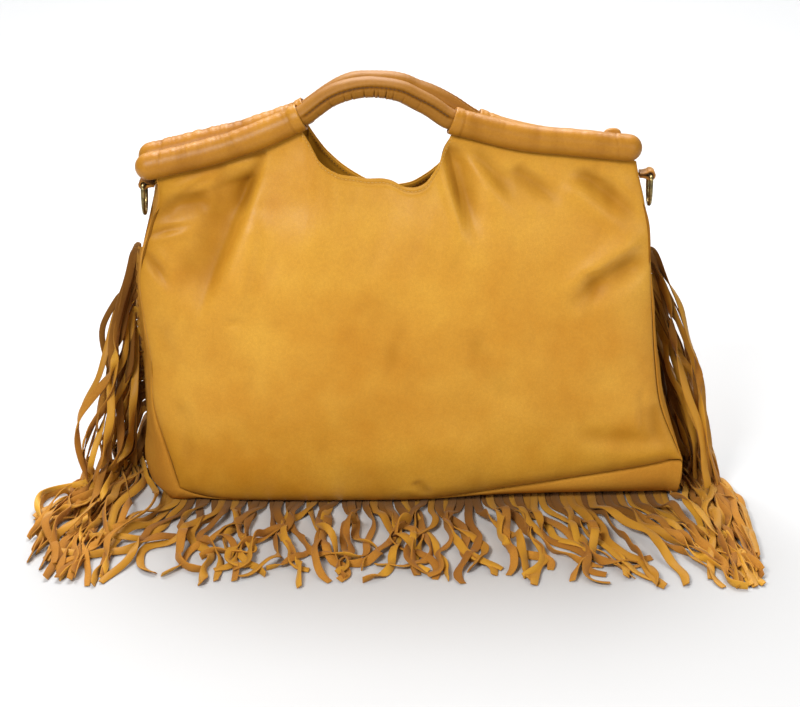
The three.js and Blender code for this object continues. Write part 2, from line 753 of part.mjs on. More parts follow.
// A tongue of folded leather, held between the two right sleeves.
function tongueGeometry() {
  const x = rodEnds[1] - tongueInset;
  const top = Math.min(rodHeight(frames.back, x), rodHeight(frames.front, x)) + sleeveRadius + tongueRise / 2;
  const thickness = frameSpacing - sleeveDiameter - 2 * seamGap;
  const corner = tongueWidth / 3;
  const outline = new THREE.Shape();
  outline.moveTo(-tongueWidth / 2, -tongueLength);
  outline.lineTo(tongueWidth / 2, -tongueLength);
  outline.lineTo(tongueWidth / 2, -corner);
  outline.lineTo(tongueWidth / 2 - corner, 0);
  outline.lineTo(-tongueWidth / 2 + corner, 0);
  outline.lineTo(-tongueWidth / 2, -corner);
  const geometry = new THREE.ExtrudeGeometry(outline, { depth: thickness, bevelEnabled: false });
  geometry.translate(0, 0, -thickness / 2);
  geometry.rotateX(Math.PI / 2);
  geometry.translate(x, 0, top);
  return geometry;
}

addPiece("end_tab", tongueGeometry(), mustard, 0.55, 0);

// The fringe

function toSolid(geometry) {
  const bare = geometry.clone();
  bare.deleteAttribute("normal");
  bare.deleteAttribute("uv");
  const merged = mergeVertices(bare);
  return new wasm.Manifold(
    new wasm.Mesh({
      numProp: 3,
      vertProperties: merged.getAttribute("position").array,
      triVerts: new Uint32Array(merged.getIndex().array),
    }),
  );
}

function fused(geometries) {
  let solid = toSolid(geometries[0]);
  for (const geometry of geometries.slice(1)) solid = solid.add(toSolid(geometry));
  const mesh = solid.getMesh();
  const geometry = new THREE.BufferGeometry();
  geometry.setAttribute("position", new THREE.Float32BufferAttribute(mesh.vertProperties, 3));
  geometry.setIndex([...mesh.triVerts]);
  geometry.computeVertexNormals();
  return geometry;
}

// A flat strip along a path, its width level and square to the way that it heads.
function lockGeometry(path, steps) {
  const curve = new THREE.CatmullRomCurve3(path, false, "centripetal");
  const heading = new THREE.Vector3().subVectors(path[path.length - 1], path[0]);
  const level = new THREE.Vector3(-heading.y, heading.x, 0).normalize();
  const points = [];
  const rings = [];
  for (let k = 0; k <= steps; k += 1) {
    const point = curve.getPoint(k / steps);
    point.z = Math.max(point.z, stripThickness / 2);
    const before = curve.getPoint(Math.max(0, (k - 0.5) / steps));
    const after = curve.getPoint(Math.min(1, (k + 0.5) / steps));
    const tangent = after.sub(before);
    if (point.z <= stripThickness / 2 + 1e-6) tangent.z = 0;
    tangent.normalize();
    const across = level.clone().addScaledVector(tangent, -level.dot(tangent)).normalize();
    const thick = new THREE.Vector3().crossVectors(tangent, across);
    const ring = [];
    for (const [w, t] of [[-1, -1], [1, -1], [1, 1], [-1, 1]]) {
      ring.push(points.length);
      points.push(
        point
          .clone()
          .addScaledVector(across, (w * lockWidth) / 2)
          .addScaledVector(thick, (t * stripThickness) / 2),
      );
    }
    rings.push(ring);
  }
  const triangles = ringTriangles(rings, 4, false);
  for (const [a, b, c, d] of [rings[0], rings[rings.length - 1].slice().reverse()]) {
    triangles.push([a, b, c], [a, c, d]);
  }
  return closedGeometry(points, triangles);
}

// Where a side lock bends, as shares of headerWidth, of its height and of its way out.
const sideLock = {
  startOut: 0.55,
  edgeOut: 1.35,
  edgeDrop: 0.35,
  kneeShare: 0.12,
  kneeRise: 0.5,
  kneeLimit: 1.6,
  dropShare: 0.45,
  dropHeight: 0.4,
};

// Where a bottom lock sways, as shares of its way from the body's edge to its tip.
const swayPlaces = [0.35, 0.7];

// Uneven lengths and waves that are the same on every build.
const uneven = (k) => Math.sin(k * 2.4) * 0.6 + Math.sin(k * 5.1 + 1) * 0.4;

const frontSeamY = bottomDepth / 2;

function bottomFringe() {
  const low = (name) => sideSeam(name, headerWidth);
  const first = low("frontLeft") + lockWidth;
  const last = low("frontRight") - lockWidth;
  const pitch = (last - first) / (bottomLocks - 1);
  const middleLock = Math.round(-first / pitch);
  const seamLift = bodyHeight * read(bottomRows, "along", 0.5, "front");
  const headerFront = frontSeamY + seamGap;
  const section = new THREE.Shape();
  section.moveTo(headerFront - frontSeamY, 0);
  section.lineTo(headerWidth, 0);
  section.lineTo(headerWidth, stripThickness);
  section.lineTo(headerWidth / 3, seamLift - seamGap);
  section.lineTo(headerFront - frontSeamY, seamLift - seamGap);
  const headerLength = (bottomLocks - 1) * pitch + lockWidth;
  const headerStart = -middleLock * pitch - lockWidth / 2;
  const header = new THREE.ExtrudeGeometry(section, { depth: headerLength, bevelEnabled: false });
  header.applyMatrix4(
    new THREE.Matrix4().set(0, 0, 1, headerStart, 1, 0, 0, frontSeamY, 0, 1, 0, 0, 0, 0, 0, 1),
  );
  const pieces = [header];
  for (let k = 0; k < bottomLocks; k += 1) {
    const x = (k - middleLock) * pitch;
    const reach = bottomReach + tipUnevenness * uneven(k);
    const bodyEdge = -bottomDepth / 2;
    const end = frontSeamY - reach;
    const sway = lockSway * uneven(k + 40);
    const z = stripThickness / 2;
    const [nearSway, farSway] = swayPlaces.map((share) => mix(bodyEdge, end, share));
    const fan = (y) => mix(1, frontFan, (bodyEdge - y) / (bodyEdge + bottomReach - frontSeamY));
    const path = [
      new THREE.Vector3(x, frontSeamY + headerWidth / 2, z),
      new THREE.Vector3(x, 0, z),
      new THREE.Vector3(x, bodyEdge, z),
      new THREE.Vector3(x * fan(nearSway) + sway, nearSway, z),
      new THREE.Vector3(x * fan(farSway) - sway, farSway, z),
      new THREE.Vector3(x * fan(end), end, z),
    ];
    pieces.push(lockGeometry(path, lockSteps));
  }
  return fused(pieces);
}

function sideFringe(side) {
  const column = side < 0 ? "frontLeft" : "frontRight";
  const fall = side < 0 ? leftFall : rightFall;
  const seamPoint = (z) => {
    const line = side < 0 ? frontFace[0] : frontFace[frontFace.length - 1];
    let j = 0;
    while (j < line.length - 2 && line[j + 1].z < z) j += 1;
    const share = (z - line[j].z) / (line[j + 1].z - line[j].z);
    return line[j].clone().lerp(line[j + 1], share);
  };
  const angle = THREE.MathUtils.degToRad(headerAngle);
  const out = new THREE.Vector3(side * Math.cos(angle), Math.sin(angle), 0);
  const thick = new THREE.Vector3(-side * Math.sin(angle), Math.cos(angle), 0);
  const stripHalf = stripThickness / 2;
  const near = [];
  const far = [];
  for (let k = 0; k <= headerSteps; k += 1) {
    const z = mix(fringeFoot - lockWidth / 2, fringeTop + lockWidth / 2, k / headerSteps);
    const root = seamPoint(z);
    const start = root.clone().addScaledVector(out, 2 * seamGap);
    const edge = root.clone().addScaledVector(out, headerWidth);
    near.push([start, edge].map((point) => point.clone().addScaledVector(thick, -stripHalf)));
    far.push([start, edge].map((point) => point.clone().addScaledVector(thick, stripHalf)));
  }
  const pieces = [sheetGeometry(far, near)];
  for (let k = 0; k < sideLocks; k += 1) {
    const down = k / (sideLocks - 1);
    const z = mix(fringeTop, fringeFoot, down);
    const place = (outColumn, towardColumn) =>
      new THREE.Vector3(
        bodyHalf * read(fall, "down", down, outColumn),
        frontSeamY - bottomReach * read(fall, "down", down, towardColumn),
        stripHalf,
      );
    const root = seamPoint(z);
    const start = root.clone().addScaledVector(out, headerWidth * sideLock.startOut);
    const edge = root.clone().addScaledVector(out, headerWidth * sideLock.edgeOut);
    edge.z -= headerWidth * sideLock.edgeDrop;
    const landing = place("landOut", "landToward");
    const end = place("endOut", "endToward");
    end.y += tipUnevenness * uneven(k + 7);
    const knee = landing.clone().lerp(edge, sideLock.kneeShare);
    knee.z = Math.min(edge.z * sideLock.kneeRise, lockWidth * sideLock.kneeLimit);
    const drop = edge.clone().lerp(landing, sideLock.dropShare);
    drop.z = mix(edge.z, stripHalf, sideLock.dropHeight);
    const bend = landing.clone().lerp(end, 0.5);
    bend.x += side * lockSway * uneven(k + 3);
    const path = [start, edge, drop, knee, landing, bend, end];
    pieces.push(lockGeometry(path, lockSteps));
  }
  return fused(pieces);
}

addPiece("bottom_fringe", bottomFringe(), suede, 0.8, 0);
addPiece("left_fringe", sideFringe(-1), suede, 0.8, 0);
addPiece("right_fringe", sideFringe(1), suede, 0.8, 0);

export default bag;
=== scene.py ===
"""A soft mustard leather handbag with padded handle rods and a long strip fringe.

Metres. X runs to the right across the bag, the panel named back faces -Y and the camera,
and Z is up from the surface that the fringe lies on.
"""
import math

import bpy
import numpy as np
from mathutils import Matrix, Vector
from mathutils.bvhtree import BVHTree
from mathutils.kdtree import KDTree


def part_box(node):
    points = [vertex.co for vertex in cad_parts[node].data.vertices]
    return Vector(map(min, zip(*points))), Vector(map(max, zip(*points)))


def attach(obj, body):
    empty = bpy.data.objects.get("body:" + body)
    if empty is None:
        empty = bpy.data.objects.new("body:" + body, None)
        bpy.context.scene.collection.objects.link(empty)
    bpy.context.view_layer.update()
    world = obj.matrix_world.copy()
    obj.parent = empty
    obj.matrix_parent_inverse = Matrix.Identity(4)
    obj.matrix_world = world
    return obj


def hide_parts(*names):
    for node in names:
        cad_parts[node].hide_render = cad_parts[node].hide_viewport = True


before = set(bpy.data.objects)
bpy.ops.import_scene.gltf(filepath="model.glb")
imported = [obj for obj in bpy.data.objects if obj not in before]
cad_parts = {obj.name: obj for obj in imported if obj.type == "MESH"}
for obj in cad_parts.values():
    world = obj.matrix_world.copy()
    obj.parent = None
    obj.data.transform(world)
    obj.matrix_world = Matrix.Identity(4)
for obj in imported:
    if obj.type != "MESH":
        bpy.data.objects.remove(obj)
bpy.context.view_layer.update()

MM = 0.001

# Driving sizes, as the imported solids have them
BODY_HALF = 210 * MM
BODY_HEIGHT = 300 * MM
BOTTOM_DEPTH = 94 * MM
FULLNESS = 20 * MM
GUSSET_FULLNESS = 26 * MM
LEATHER = 1.9 * MM
SEAM_LAP = 0.5 * MM
FRAME_SPACING = 28 * MM
APEX = 353 * MM
FRAME_DROP = 65 * MM
GRIP_LEAN = 1.5 * MM
GRIP_RADIUS = 8.5 * MM
ARM_RADIUS = 8.1 * MM
SLEEVE_RADIUS = 11 * MM
SLEEVE_WALL = 2 * MM
CUTOUT_DEPTH = 42 * MM
HEM_LIFT = 0.3
HEM_STITCH = 3.6 * MM
FLOOR_CLEARANCE = 2.35 * MM
FRINGE_REACH = 232 * MM

rng = np.random.default_rng(27)


def table(columns, *rows):
    """A table with named columns and one row for each place."""
    return dict(zip(columns.split(), np.array(rows, float).T))


def read(rows, column, at):
    """A smooth curve through one column of a table, read at values of its first column."""
    keys = rows[next(iter(rows))]
    values = rows[column]
    last = len(keys) - 1
    index = np.arange(len(keys))
    low = np.maximum(index - 1, 0)
    high = np.minimum(index + 1, last)
    slopes = (values[high] - values[low]) / (keys[high] - keys[low])
    at = np.asarray(at, float)
    k = np.clip(np.searchsorted(keys, at) - 1, 0, last - 1)
    span = keys[k + 1] - keys[k]
    t = np.clip((at - keys[k]) / span, 0, 1)
    smooth = (
        (2 * t**3 - 3 * t**2 + 1) * values[k]
        + (t**3 - 2 * t**2 + t) * span * slopes[k]
        + (3 * t**2 - 2 * t**3) * values[k + 1]
        + (t**3 - t**2) * span * slopes[k + 1]
    )
    before = np.minimum(at - keys[0], 0) * slopes[0]
    after = np.maximum(at - keys[last], 0) * slopes[last]
    return smooth + before + after


def mix(a, b, share):
    return a + (b - a) * share


# Rod axes: across is a share of BODY_HALF, the drops are shares of FRAME_DROP
ROD = table(
    "across back front",
    (-0.91, 1.0, 0.99),
    (-0.715, 0.85, 0.83),
    (-0.525, 0.655, 0.67),
    (-0.325, 0.36, 0.43),
    (-0.216, 0.115, 0.185),
    (-0.13, 0.02, 0.05),
    (-0.048, 0.0, 0.035),
    (0.048, 0.05, 0.06),
    (0.105, 0.14, 0.135),
    (0.162, 0.24, 0.205),
    (0.238, 0.4, 0.34),
    (0.335, 0.495, 0.545),
    (0.52, 0.63, 0.735),
    (0.73, 0.7, 0.85),
    (0.915, 0.76, 0.88),
)
FRAMES = {
    "back": {"name": "back", "side": -1, "mouths": (-0.324 * BODY_HALF, 0.243 * BODY_HALF)},
    "front": {"name": "front", "side": 1, "mouths": (-0.305 * BODY_HALF, 0.338 * BODY_HALF)},
}
ROD_ENDS = (-0.91 * BODY_HALF, 0.915 * BODY_HALF)

# Hem of each cut-out, in shares of CUTOUT_DEPTH
HEM = table(
    "along back front",
    (0.0, 0.0, 0.0),
    (0.05, 0.22, 0.26),
    (0.12, 0.56, 0.56),
    (0.25, 0.78, 0.88),
    (0.42, 0.85, 1.1),
    (0.59, 0.88, 1.06),
    (0.7, 1.0, 0.86),
    (0.82, 0.9, 0.5),
    (0.91, 0.54, 0.24),
    (0.965, 0.2, 0.08),
    (1.0, 0.0, 0.0),
)

# Side seams: up is a share of BODY_HEIGHT, the seams are shares of BODY_HALF
SIDE = table(
    "up back_left back_right front_left front_right",
    (0.0, -0.79, 1.176, -0.924, 1.124),
    (0.05, -0.824, 1.176, -0.943, 1.138),
    (0.133, -0.857, 1.164, -0.967, 1.133),
    (0.3, -0.921, 1.071, -0.986, 1.081),
    (0.433, -0.929, 1.042, -0.99, 1.052),
    (0.55, -0.952, 1.029, -0.99, 1.036),
    (0.667, -0.96, 1.017, -0.976, 1.019),
    (0.8, -0.91, 1.005, -0.929, 0.99),
    (0.873, -0.876, 0.981, -0.905, 0.971),
    (1.0, -0.895, 0.943, -0.89, 0.938),
    (1.2, -0.895, 0.943, -0.89, 0.938),
)

# Bottom seams: along from the left seam to the right one, lifts in shares of BODY_HEIGHT
BOTTOM = table(
    "along back front",
    (0.0, 0.055, 0.047),
    (0.03, 0.028, 0.03),
    (0.12, 0.014, 0.022),
    (0.35, 0.012, 0.02),
    (0.5, 0.02, 0.02),
    (0.62, 0.046, 0.022),
    (0.78, 0.083, 0.023),
    (0.92, 0.117, 0.027),
    (1.0, 0.14, 0.047),
)

# How far the panels stand out, from the bottom seam up to the sleeve
DEPTH = table(
    "up edge swell",
    (0.0, 1.0, 0.0),
    (0.05, 0.985, 0.22),
    (0.15, 0.94, 0.55),
    (0.3, 0.82, 0.86),
    (0.5, 0.61, 1.0),
    (0.7, 0.36, 0.85),
    (0.85, 0.18, 0.45),
    (0.95, 0.05, 0.13),
    (1.0, 0.0, 0.0),
)

# How far the gusset rounds out at its sides, in shares of GUSSET_FULLNESS
ROUND = table(
    "up left right",
    (0.0, 0.9, 0.1),
    (0.1, 0.8, 0.16),
    (0.2, 0.34, 0.2),
    (0.33, 0.02, 0.2),
    (0.5, -0.08, 0.14),
    (0.667, 0.0, 0.0),
    (0.79, -0.17, -0.17),
    (0.85, 0.0, 0.0),
    (0.9, 0.0, 0.0),
    (1.0, 0.0, 0.0),
    (1.2, 0.0, 0.0),
)

# Folds pressed into a panel, each on a bowed line from its start past its bow to its end:
# x as shares of BODY_HALF, z as shares of BODY_HEIGHT, deep and wide in millimetres. Edge is
# how crisp the fold is, from 1 for a soft valley to 0 for a sharp crease, and skew makes the
# flank on the left of the line's run narrower than the other one.
FOLD_COLUMNS = "x z bow_x bow_z end_x end_z deep wide edge lip skew"
BACK_FOLDS = table(
    FOLD_COLUMNS,
    (-0.455, 1.03, -0.50, 0.94, -0.585, 0.80, 6.0, 5.0, 0.7, 0.2, 0.3),
    (-0.51, 0.97, -0.595, 0.80, -0.77, 0.52, 12.5, 15.0, 1.0, 0.3, 0.6),
    (-0.44, 1.0, -0.58, 0.985, -0.72, 0.96, 4.8, 4.2, 0.6, 0.8, 0.3),
    (-0.60, 0.965, -0.70, 0.97, -0.86, 0.90, 4.6, 4.6, 0.5, 0.5, 0.0),
    (-0.66, 0.93, -0.74, 0.925, -0.80, 0.87, 1.8, 3.0, 0.5, 0.8, 0.0),
    (-0.66, 0.865, -0.80, 0.875, -0.95, 0.80, 6.5, 9.5, 0.9, 0.3, 0.0),
    (-0.98, 0.762, -0.89, 0.785, -0.72, 0.81, 3.4, 2.8, 0.2, 1.1, 0.0),
    (-0.98, 0.762, -0.91, 0.715, -0.82, 0.62, 4.2, 4.4, 0.4, 1.0, 0.0),
    (-0.90, 0.55, -0.86, 0.46, -0.80, 0.36, 1.8, 9.0, 1.0, 0.4, 0.0),
    (-0.50, 0.86, -0.545, 0.71, -0.62, 0.50, -4.6, 14.0, 1.0, 0.0, 0.4),
    (-0.62, 0.56, -0.58, 0.545, -0.54, 0.55, 1.6, 3.6, 0.5, 0.8, 0.0),
    (0.235, 1.04, 0.245, 0.95, 0.36, 0.74, 9.5, 8.2, 0.9, 0.8, -0.35),
    (0.31, 1.02, 0.40, 0.955, 0.52, 0.84, 4.4, 6.6, 1.0, 0.7, -0.3),
    (0.46, 0.97, 0.55, 0.93, 0.68, 0.85, 3.8, 7.5, 0.9, 0.6, 0.0),
    (0.70, 0.965, 0.83, 0.895, 1.0, 0.80, 5.8, 7.5, 0.8, 0.9, 0.0),
    (1.05, 0.79, 0.82, 0.745, 0.64, 0.60, -3.6, 8.0, 0.9, 0.0, 0.0),
    (1.04, 0.72, 0.82, 0.68, 0.69, 0.58, 5.4, 9.5, 0.7, 0.8, 0.0),
    (0.77, 0.70, 0.78, 0.66, 0.80, 0.60, 2.2, 7.0, 0.9, 0.4, 0.0),
    (0.885, 1.02, 0.885, 0.985, 0.88, 0.945, 2.2, 2.4, 0.1, 0.9, 0.0),
    (0.80, 1.01, 0.79, 0.97, 0.80, 0.93, 1.6, 4.0, 0.7, 0.6, 0.0),
    (0.62, 1.0, 0.61, 0.97, 0.63, 0.935, 1.4, 3.6, 0.6, 0.6, 0.0),
    (1.0, 0.38, 0.985, 0.28, 1.0, 0.18, 1.5, 4.5, 0.4, 0.9, 0.0),
    (1.05, 0.33, 1.03, 0.24, 1.11, 0.17, 3.4, 7.0, 0.8, 0.5, 0.0),
    (1.08, 0.20, 0.92, 0.215, 0.70, 0.23, 2.2, 9.0, 1.0, 0.4, 0.0),
    (-0.82, 0.34, -0.78, 0.22, -0.77, 0.10, 2.0, 8.0, 0.7, 0.6, 0.0),
    (-0.30, 0.17, 0.15, 0.19, 0.60, 0.26, -1.8, 20.0, 1.0, 0.0, 0.0),
    (0.10, 0.095, 0.14, 0.06, 0.17, 0.03, 2.2, 5.0, 0.7, 0.5, 0.0),
    (-0.10, 0.66, 0.05, 0.50, 0.12, 0.34, 1.5, 16.0, 1.0, 0.3, 0.0),
    (0.30, 0.56, 0.42, 0.42, 0.44, 0.28, 1.6, 15.0, 1.0, 0.3, 0.0),
)
FRONT_FOLDS = table(
    FOLD_COLUMNS,
    (-0.42, 0.98, -0.52, 0.84, -0.62, 0.66, 5.0, 10.0, 0.8, 0.6, 0.0),
    (-0.80, 0.92, -0.72, 0.84, -0.70, 0.72, 2.4, 7.0, 0.8, 0.5, 0.0),
    (-0.97, 0.52, -0.84, 0.50, -0.68, 0.42, 3.6, 9.0, 0.8, 0.7, 0.0),
    (0.42, 0.97, 0.50, 0.80, 0.60, 0.62, 5.0, 10.0, 0.8, 0.6, 0.0),
    (0.70, 0.90, 0.74, 0.80, 0.84, 0.72, 2.4, 7.0, 0.9, 0.5, 0.0),
    (1.0, 0.57, 0.86, 0.54, 0.70, 0.42, 3.8, 9.0, 0.8, 0.7, 0.0),
    (-0.85, 0.26, -0.74, 0.20, -0.72, 0.10, 2.2, 7.0, 0.8, 0.5, 0.0),
    (0.96, 0.30, 0.88, 0.20, 0.90, 0.10, 2.2, 7.0, 0.8, 0.5, 0.0),
    (-0.30, 0.12, 0.10, 0.14, 0.50, 0.12, -1.6, 16.0, 1.0, 0.0, 0.0),
)

# The side strips from the top one (down 0) to the lowest (down 1): where a strip lands and
# where it ends, out in shares of BODY_HALF and toward in shares of FRINGE_REACH
LEFT_FALL = table(
    "down land_out land_toward end_out end_toward",
    (0.0, -1.225, 0.27, -1.345, 0.47),
    (0.25, -1.18, 0.2, -1.36, 0.66),
    (0.5, -1.13, 0.13, -1.31, 0.84),
    (0.75, -1.08, 0.07, -1.22, 0.95),
    (1.0, -1.03, 0.02, -1.11, 1.0),
)
RIGHT_FALL = table(
    "down land_out land_toward end_out end_toward",
    (0.0, 1.355, 0.27, 1.445, 0.47),
    (0.25, 1.315, 0.2, 1.465, 0.66),
    (0.5, 1.27, 0.13, 1.44, 0.84),
    (0.75, 1.225, 0.07, 1.38, 0.94),
    (1.0, 1.18, 0.02, 1.3, 0.98),
)

# How the bottom strips lie: across in shares of BODY_HALF, heading in radians to the right
COMB = table(
    "across heading loose",
    (-1.0, -0.3, 0.8),
    (-0.6, -0.22, 1.0),
    (-0.2, 0.0, 1.1),
    (0.2, 0.05, 1.1),
    (0.55, 0.3, 0.8),
    (0.85, 0.52, 0.5),
    (1.15, 0.5, 0.5),
)

# Camera and light

CAMERA_TARGET = Vector((10 * MM, 0, 121 * MM))
CAMERA_DISTANCE = 1.9
CAMERA_ELEVATION = math.radians(22)
SENSOR_WIDTH = 36
PHOTO_WIDTH = 800
FOCAL_PIXELS = 2281

# Each area light's place, target, size, power in watts and warmth
LIGHTS = {
    "softbox": ((-0.85, -1.6, 1.6), (0, 0, 0.15), (0.75, 0.5), 46, 0.12),
    "overhead": ((-0.1, 0.72, 1.4), (0, -0.1, 0.0), (1.0, 0.6), 33, 0.1),
    "fill": ((1.3, -1.5, 0.9), (0.05, 0, 0.2), (0.9, 0.9), 12, 0.2),
    "backdrop": ((0, 2.1, 1.7), (0, 2.6, 0), (3.4, 1.6), 66, 0.0),
}
SURROUND_STRENGTH = 0.3
FLOOR_REACH = 6.0


def add_camera():
    away = Vector((0, -math.cos(CAMERA_ELEVATION), math.sin(CAMERA_ELEVATION)))
    camera = bpy.data.objects.new("camera", bpy.data.cameras.new("camera"))
    bpy.context.scene.collection.objects.link(camera)
    camera.location = CAMERA_TARGET + CAMERA_DISTANCE * away
    camera.rotation_euler = (math.pi / 2 - CAMERA_ELEVATION, 0, 0)
    camera.data.sensor_width = SENSOR_WIDTH
    camera.data.lens = SENSOR_WIDTH * FOCAL_PIXELS / PHOTO_WIDTH
    bpy.context.scene.camera = camera


def add_area_light(name, place, target, size, power, warmth):
    light = bpy.data.lights.new(name, "AREA")
    light.shape = "RECTANGLE"
    light.size, light.size_y = size
    light.energy = power
    light.color = (1.0, mix(1.0, 0.94, warmth), mix(1.0, 0.86, warmth))
    lamp = bpy.data.objects.new(name, light)
    bpy.context.scene.collection.objects.link(lamp)
    lamp.location = place
    lamp.rotation_euler = (Vector(target) - Vector(place)).to_track_quat("-Z", "Y").to_euler()


def add_studio():
    for name, settings in LIGHTS.items():
        add_area_light(name, *settings)
    world = bpy.data.worlds.new("studio")
    world.use_nodes = True
    surround = world.node_tree.nodes["Background"]
    surround.inputs["Color"].default_value = (1, 1, 1, 1)
    surround.inputs["Strength"].default_value = SURROUND_STRENGTH
    bpy.context.scene.world = world
    bpy.context.scene.view_settings.view_transform = "Standard"
    signs = ((-1, -1), (1, -1), (1, 1), (-1, 1))
    corners = [(x * FLOOR_REACH, y * FLOOR_REACH, 0) for x, y in signs]
    floor = solid("floor", corners, [(0, 1, 2, 3)])
    floor.data.materials.append(floor_material())


# Mesh helpers


def solid(name, points, faces, outward=False):
    """A mesh object from points and faces, turned so that a closed body faces outwards."""
    points = np.asarray(points, float)
    faces = [tuple(face) for face in (faces.tolist() if isinstance(faces, np.ndarray) else faces)]
    if outward:
        quads = np.array([face if len(face) == 4 else (*face, face[2]) for face in faces])
        a, b, c, d = (points[quads[:, k]] for k in range(4))
        volume = np.einsum("ij,ij->", a, np.cross(b, c)) + np.einsum("ij,ij->", a, np.cross(c, d))
        if volume < 0:
            faces = [face[::-1] for face in faces]
    mesh = bpy.data.meshes.new(name)
    mesh.from_pydata(points.tolist(), [], faces)
    mesh.polygons.foreach_set("use_smooth", np.ones(len(faces), bool))
    mesh.update()
    piece = bpy.data.objects.new(name, mesh)
    bpy.context.scene.collection.objects.link(piece)
    return piece


def add_attribute(piece, name, values):
    attribute = piece.data.attributes.new(name, "FLOAT", "POINT")
    attribute.data.foreach_set("value", np.asarray(values, np.float32).ravel())


def grid_quads(rows, columns, start=0, wrap=False):
    i = np.arange(rows - 1)[:, None]
    j = np.arange(columns if wrap else columns - 1)[None, :]
    k = (j + 1) % columns
    corners = [i * columns + j, (i + 1) * columns + j, (i + 1) * columns + k, i * columns + k]
    return start + np.stack(corners, -1).reshape(-1, 4)


def sheet_solid(name, outer, inner):
    """A closed body between two matching grids of points."""
    rows, columns = outer.shape[:2]
    count = rows * columns
    border = [(i, 0) for i in range(rows)]
    border += [(rows - 1, j) for j in range(1, columns)]
    border += [(i, columns - 1) for i in range(rows - 2, -1, -1)]
    border += [(0, j) for j in range(columns - 2, 0, -1)]
    ring = np.array([i * columns + j for i, j in border])
    onward = np.roll(ring, -1)
    # The rim turns the same way as the outer face along their shared border
    rim = np.stack([onward, onward + count, ring + count, ring], -1)
    back_to_back = grid_quads(rows, columns, count)[:, ::-1]
    quads = np.concatenate([grid_quads(rows, columns), back_to_back, rim])
    points = np.concatenate([outer.reshape(-1, 3), inner.reshape(-1, 3)])
    return solid(name, points, quads, outward=True)


def unit(vectors):
    return vectors / np.maximum(np.linalg.norm(vectors, axis=-1, keepdims=True), 1e-12)


def grid_normals(grid, inside):
    """Normals of a grid of points, on the side that mostly looks away from a point inside."""
    normals = unit(np.cross(np.gradient(grid, axis=0), np.gradient(grid, axis=1)))
    return normals if np.sum(normals * (grid - inside)) > 0 else -normals


def arc_length(grid, axis):
    """Length along one axis of a grid from its first line to each of its points."""
    steps = np.linalg.norm(np.diff(grid, axis=axis), axis=-1)
    zero = np.zeros_like(np.take(steps, [0], axis=axis))
    return np.cumsum(np.concatenate([zero, steps], axis=axis), axis=axis)


def waves(count, shortest, longest, seed):
    """A smooth uneven relief: a function of two lengths, made of waves that never line up."""
    draw = np.random.default_rng(seed)
    lengths = draw.uniform(shortest, longest, count)
    angles = draw.uniform(0, 2 * math.pi, count)
    starts = draw.uniform(0, 2 * math.pi, count)
    strengths = lengths / longest

    def height(u, v):
        total = 0
        for length, angle, start, strength in zip(lengths, angles, starts, strengths):
            run = (u * math.cos(angle) + v * math.sin(angle)) / length
            total = total + strength * np.sin(2 * math.pi * run + start)
        return total / math.sqrt(count)

    return height


def step_down(distance, edge, softness):
    """1 below an edge and 0 past it, with a soft step between."""
    return 0.5 - 0.5 * np.tanh((distance - edge) / (2 * softness))


def hill(distance, width):
    """1 on a line and less on both sides of it, down to nothing."""
    return np.exp(-((distance / width) ** 2))


def fading(distance, reach):
    """1 at an edge and less away from it, down to nothing."""
    return np.exp(-distance / reach)


def ramp(distance, length):
    """0 at an edge, 1 from a given length on, and straight between."""
    return np.clip(distance / length, 0, 1)


def crowded(count, power=1.4):
    """Shares from 0 to 1 that lie closer together near 0."""
    return np.linspace(0, 1, count) ** power


def crowded_twice(count):
    """Shares from 0 to 1 that lie closer together near both ends."""
    half = crowded(count) / 2
    return np.concatenate([half, (1 - half[::-1])[1:]])


# The rods


def rod_height(rod, x):
    return APEX - FRAME_DROP * read(ROD, rod["name"], np.asarray(x) / BODY_HALF)


def rod_point(rod, x):
    x = np.asarray(x, float)
    left, right = rod["mouths"]
    in_grip = np.maximum(0, 1 - ((x - (left + right) / 2) / ((right - left) / 2)) ** 2)
    y = rod["side"] * (FRAME_SPACING / 2 - GRIP_LEAN * in_grip)
    return np.stack([x, y, rod_height(rod, x)], -1)


def rod_tangent(rod, x):
    return unit(rod_point(rod, np.asarray(x) + MM) - rod_point(rod, np.asarray(x) - MM))


def sleeve_underside(rod, x):
    tangent = rod_tangent(rod, x)
    level = np.hypot(tangent[..., 0], tangent[..., 1])
    return rod_height(rod, x) - (SLEEVE_RADIUS - SEAM_LAP) / level


def rod_sides(tangents):
    """Two directions square to a rod's run: level across it, and up from that."""
    level = np.array([0.0, 1.0, 0.0])
    across = unit(level - tangents * (tangents @ level)[:, None])
    return across, np.cross(tangents, across)


def ring_directions(across, up, angles):
    """Directions round a run, a row for each place along it and a column for each angle."""
    cosines, sines = np.cos(angles)[None, :, None], np.sin(angles)[None, :, None]
    return cosines * across[:, None] + sines * up[:, None]


def tube_grid(points, tangents, radii, angles):
    """Rings of points round a path: radii has a row for each ring and a column for each angle."""
    across, up = rod_sides(tangents)
    return points[:, None] + radii[..., None] * ring_directions(across, up, angles)


def tube_solid(name, rings, material, attributes=None):
    """A closed body from rings of points whose first and last ring shrink to a pole."""
    rows, columns = rings.shape[:2]
    poles = np.stack([rings[0].mean(0), rings[-1].mean(0)])
    points = np.concatenate([rings.reshape(-1, 3), poles])
    first, last = rows * columns, rows * columns + 1
    faces = grid_quads(rows, columns, wrap=True).tolist()
    for j in range(columns):
        k = (j + 1) % columns
        faces.append((first, j, k))
        faces.append((last, (rows - 1) * columns + k, (rows - 1) * columns + j))
    piece = solid(name, points, faces, outward=True)
    for key, values in (attributes or {}).items():
        add_attribute(piece, key, np.concatenate([values.ravel(), [0, 0]]))
    piece.data.materials.append(material)
    return piece


def around(angle, middle):
    """Distance between two angles, at most half a turn."""
    return np.abs((angle - middle + math.pi) % (2 * math.pi) - math.pi)


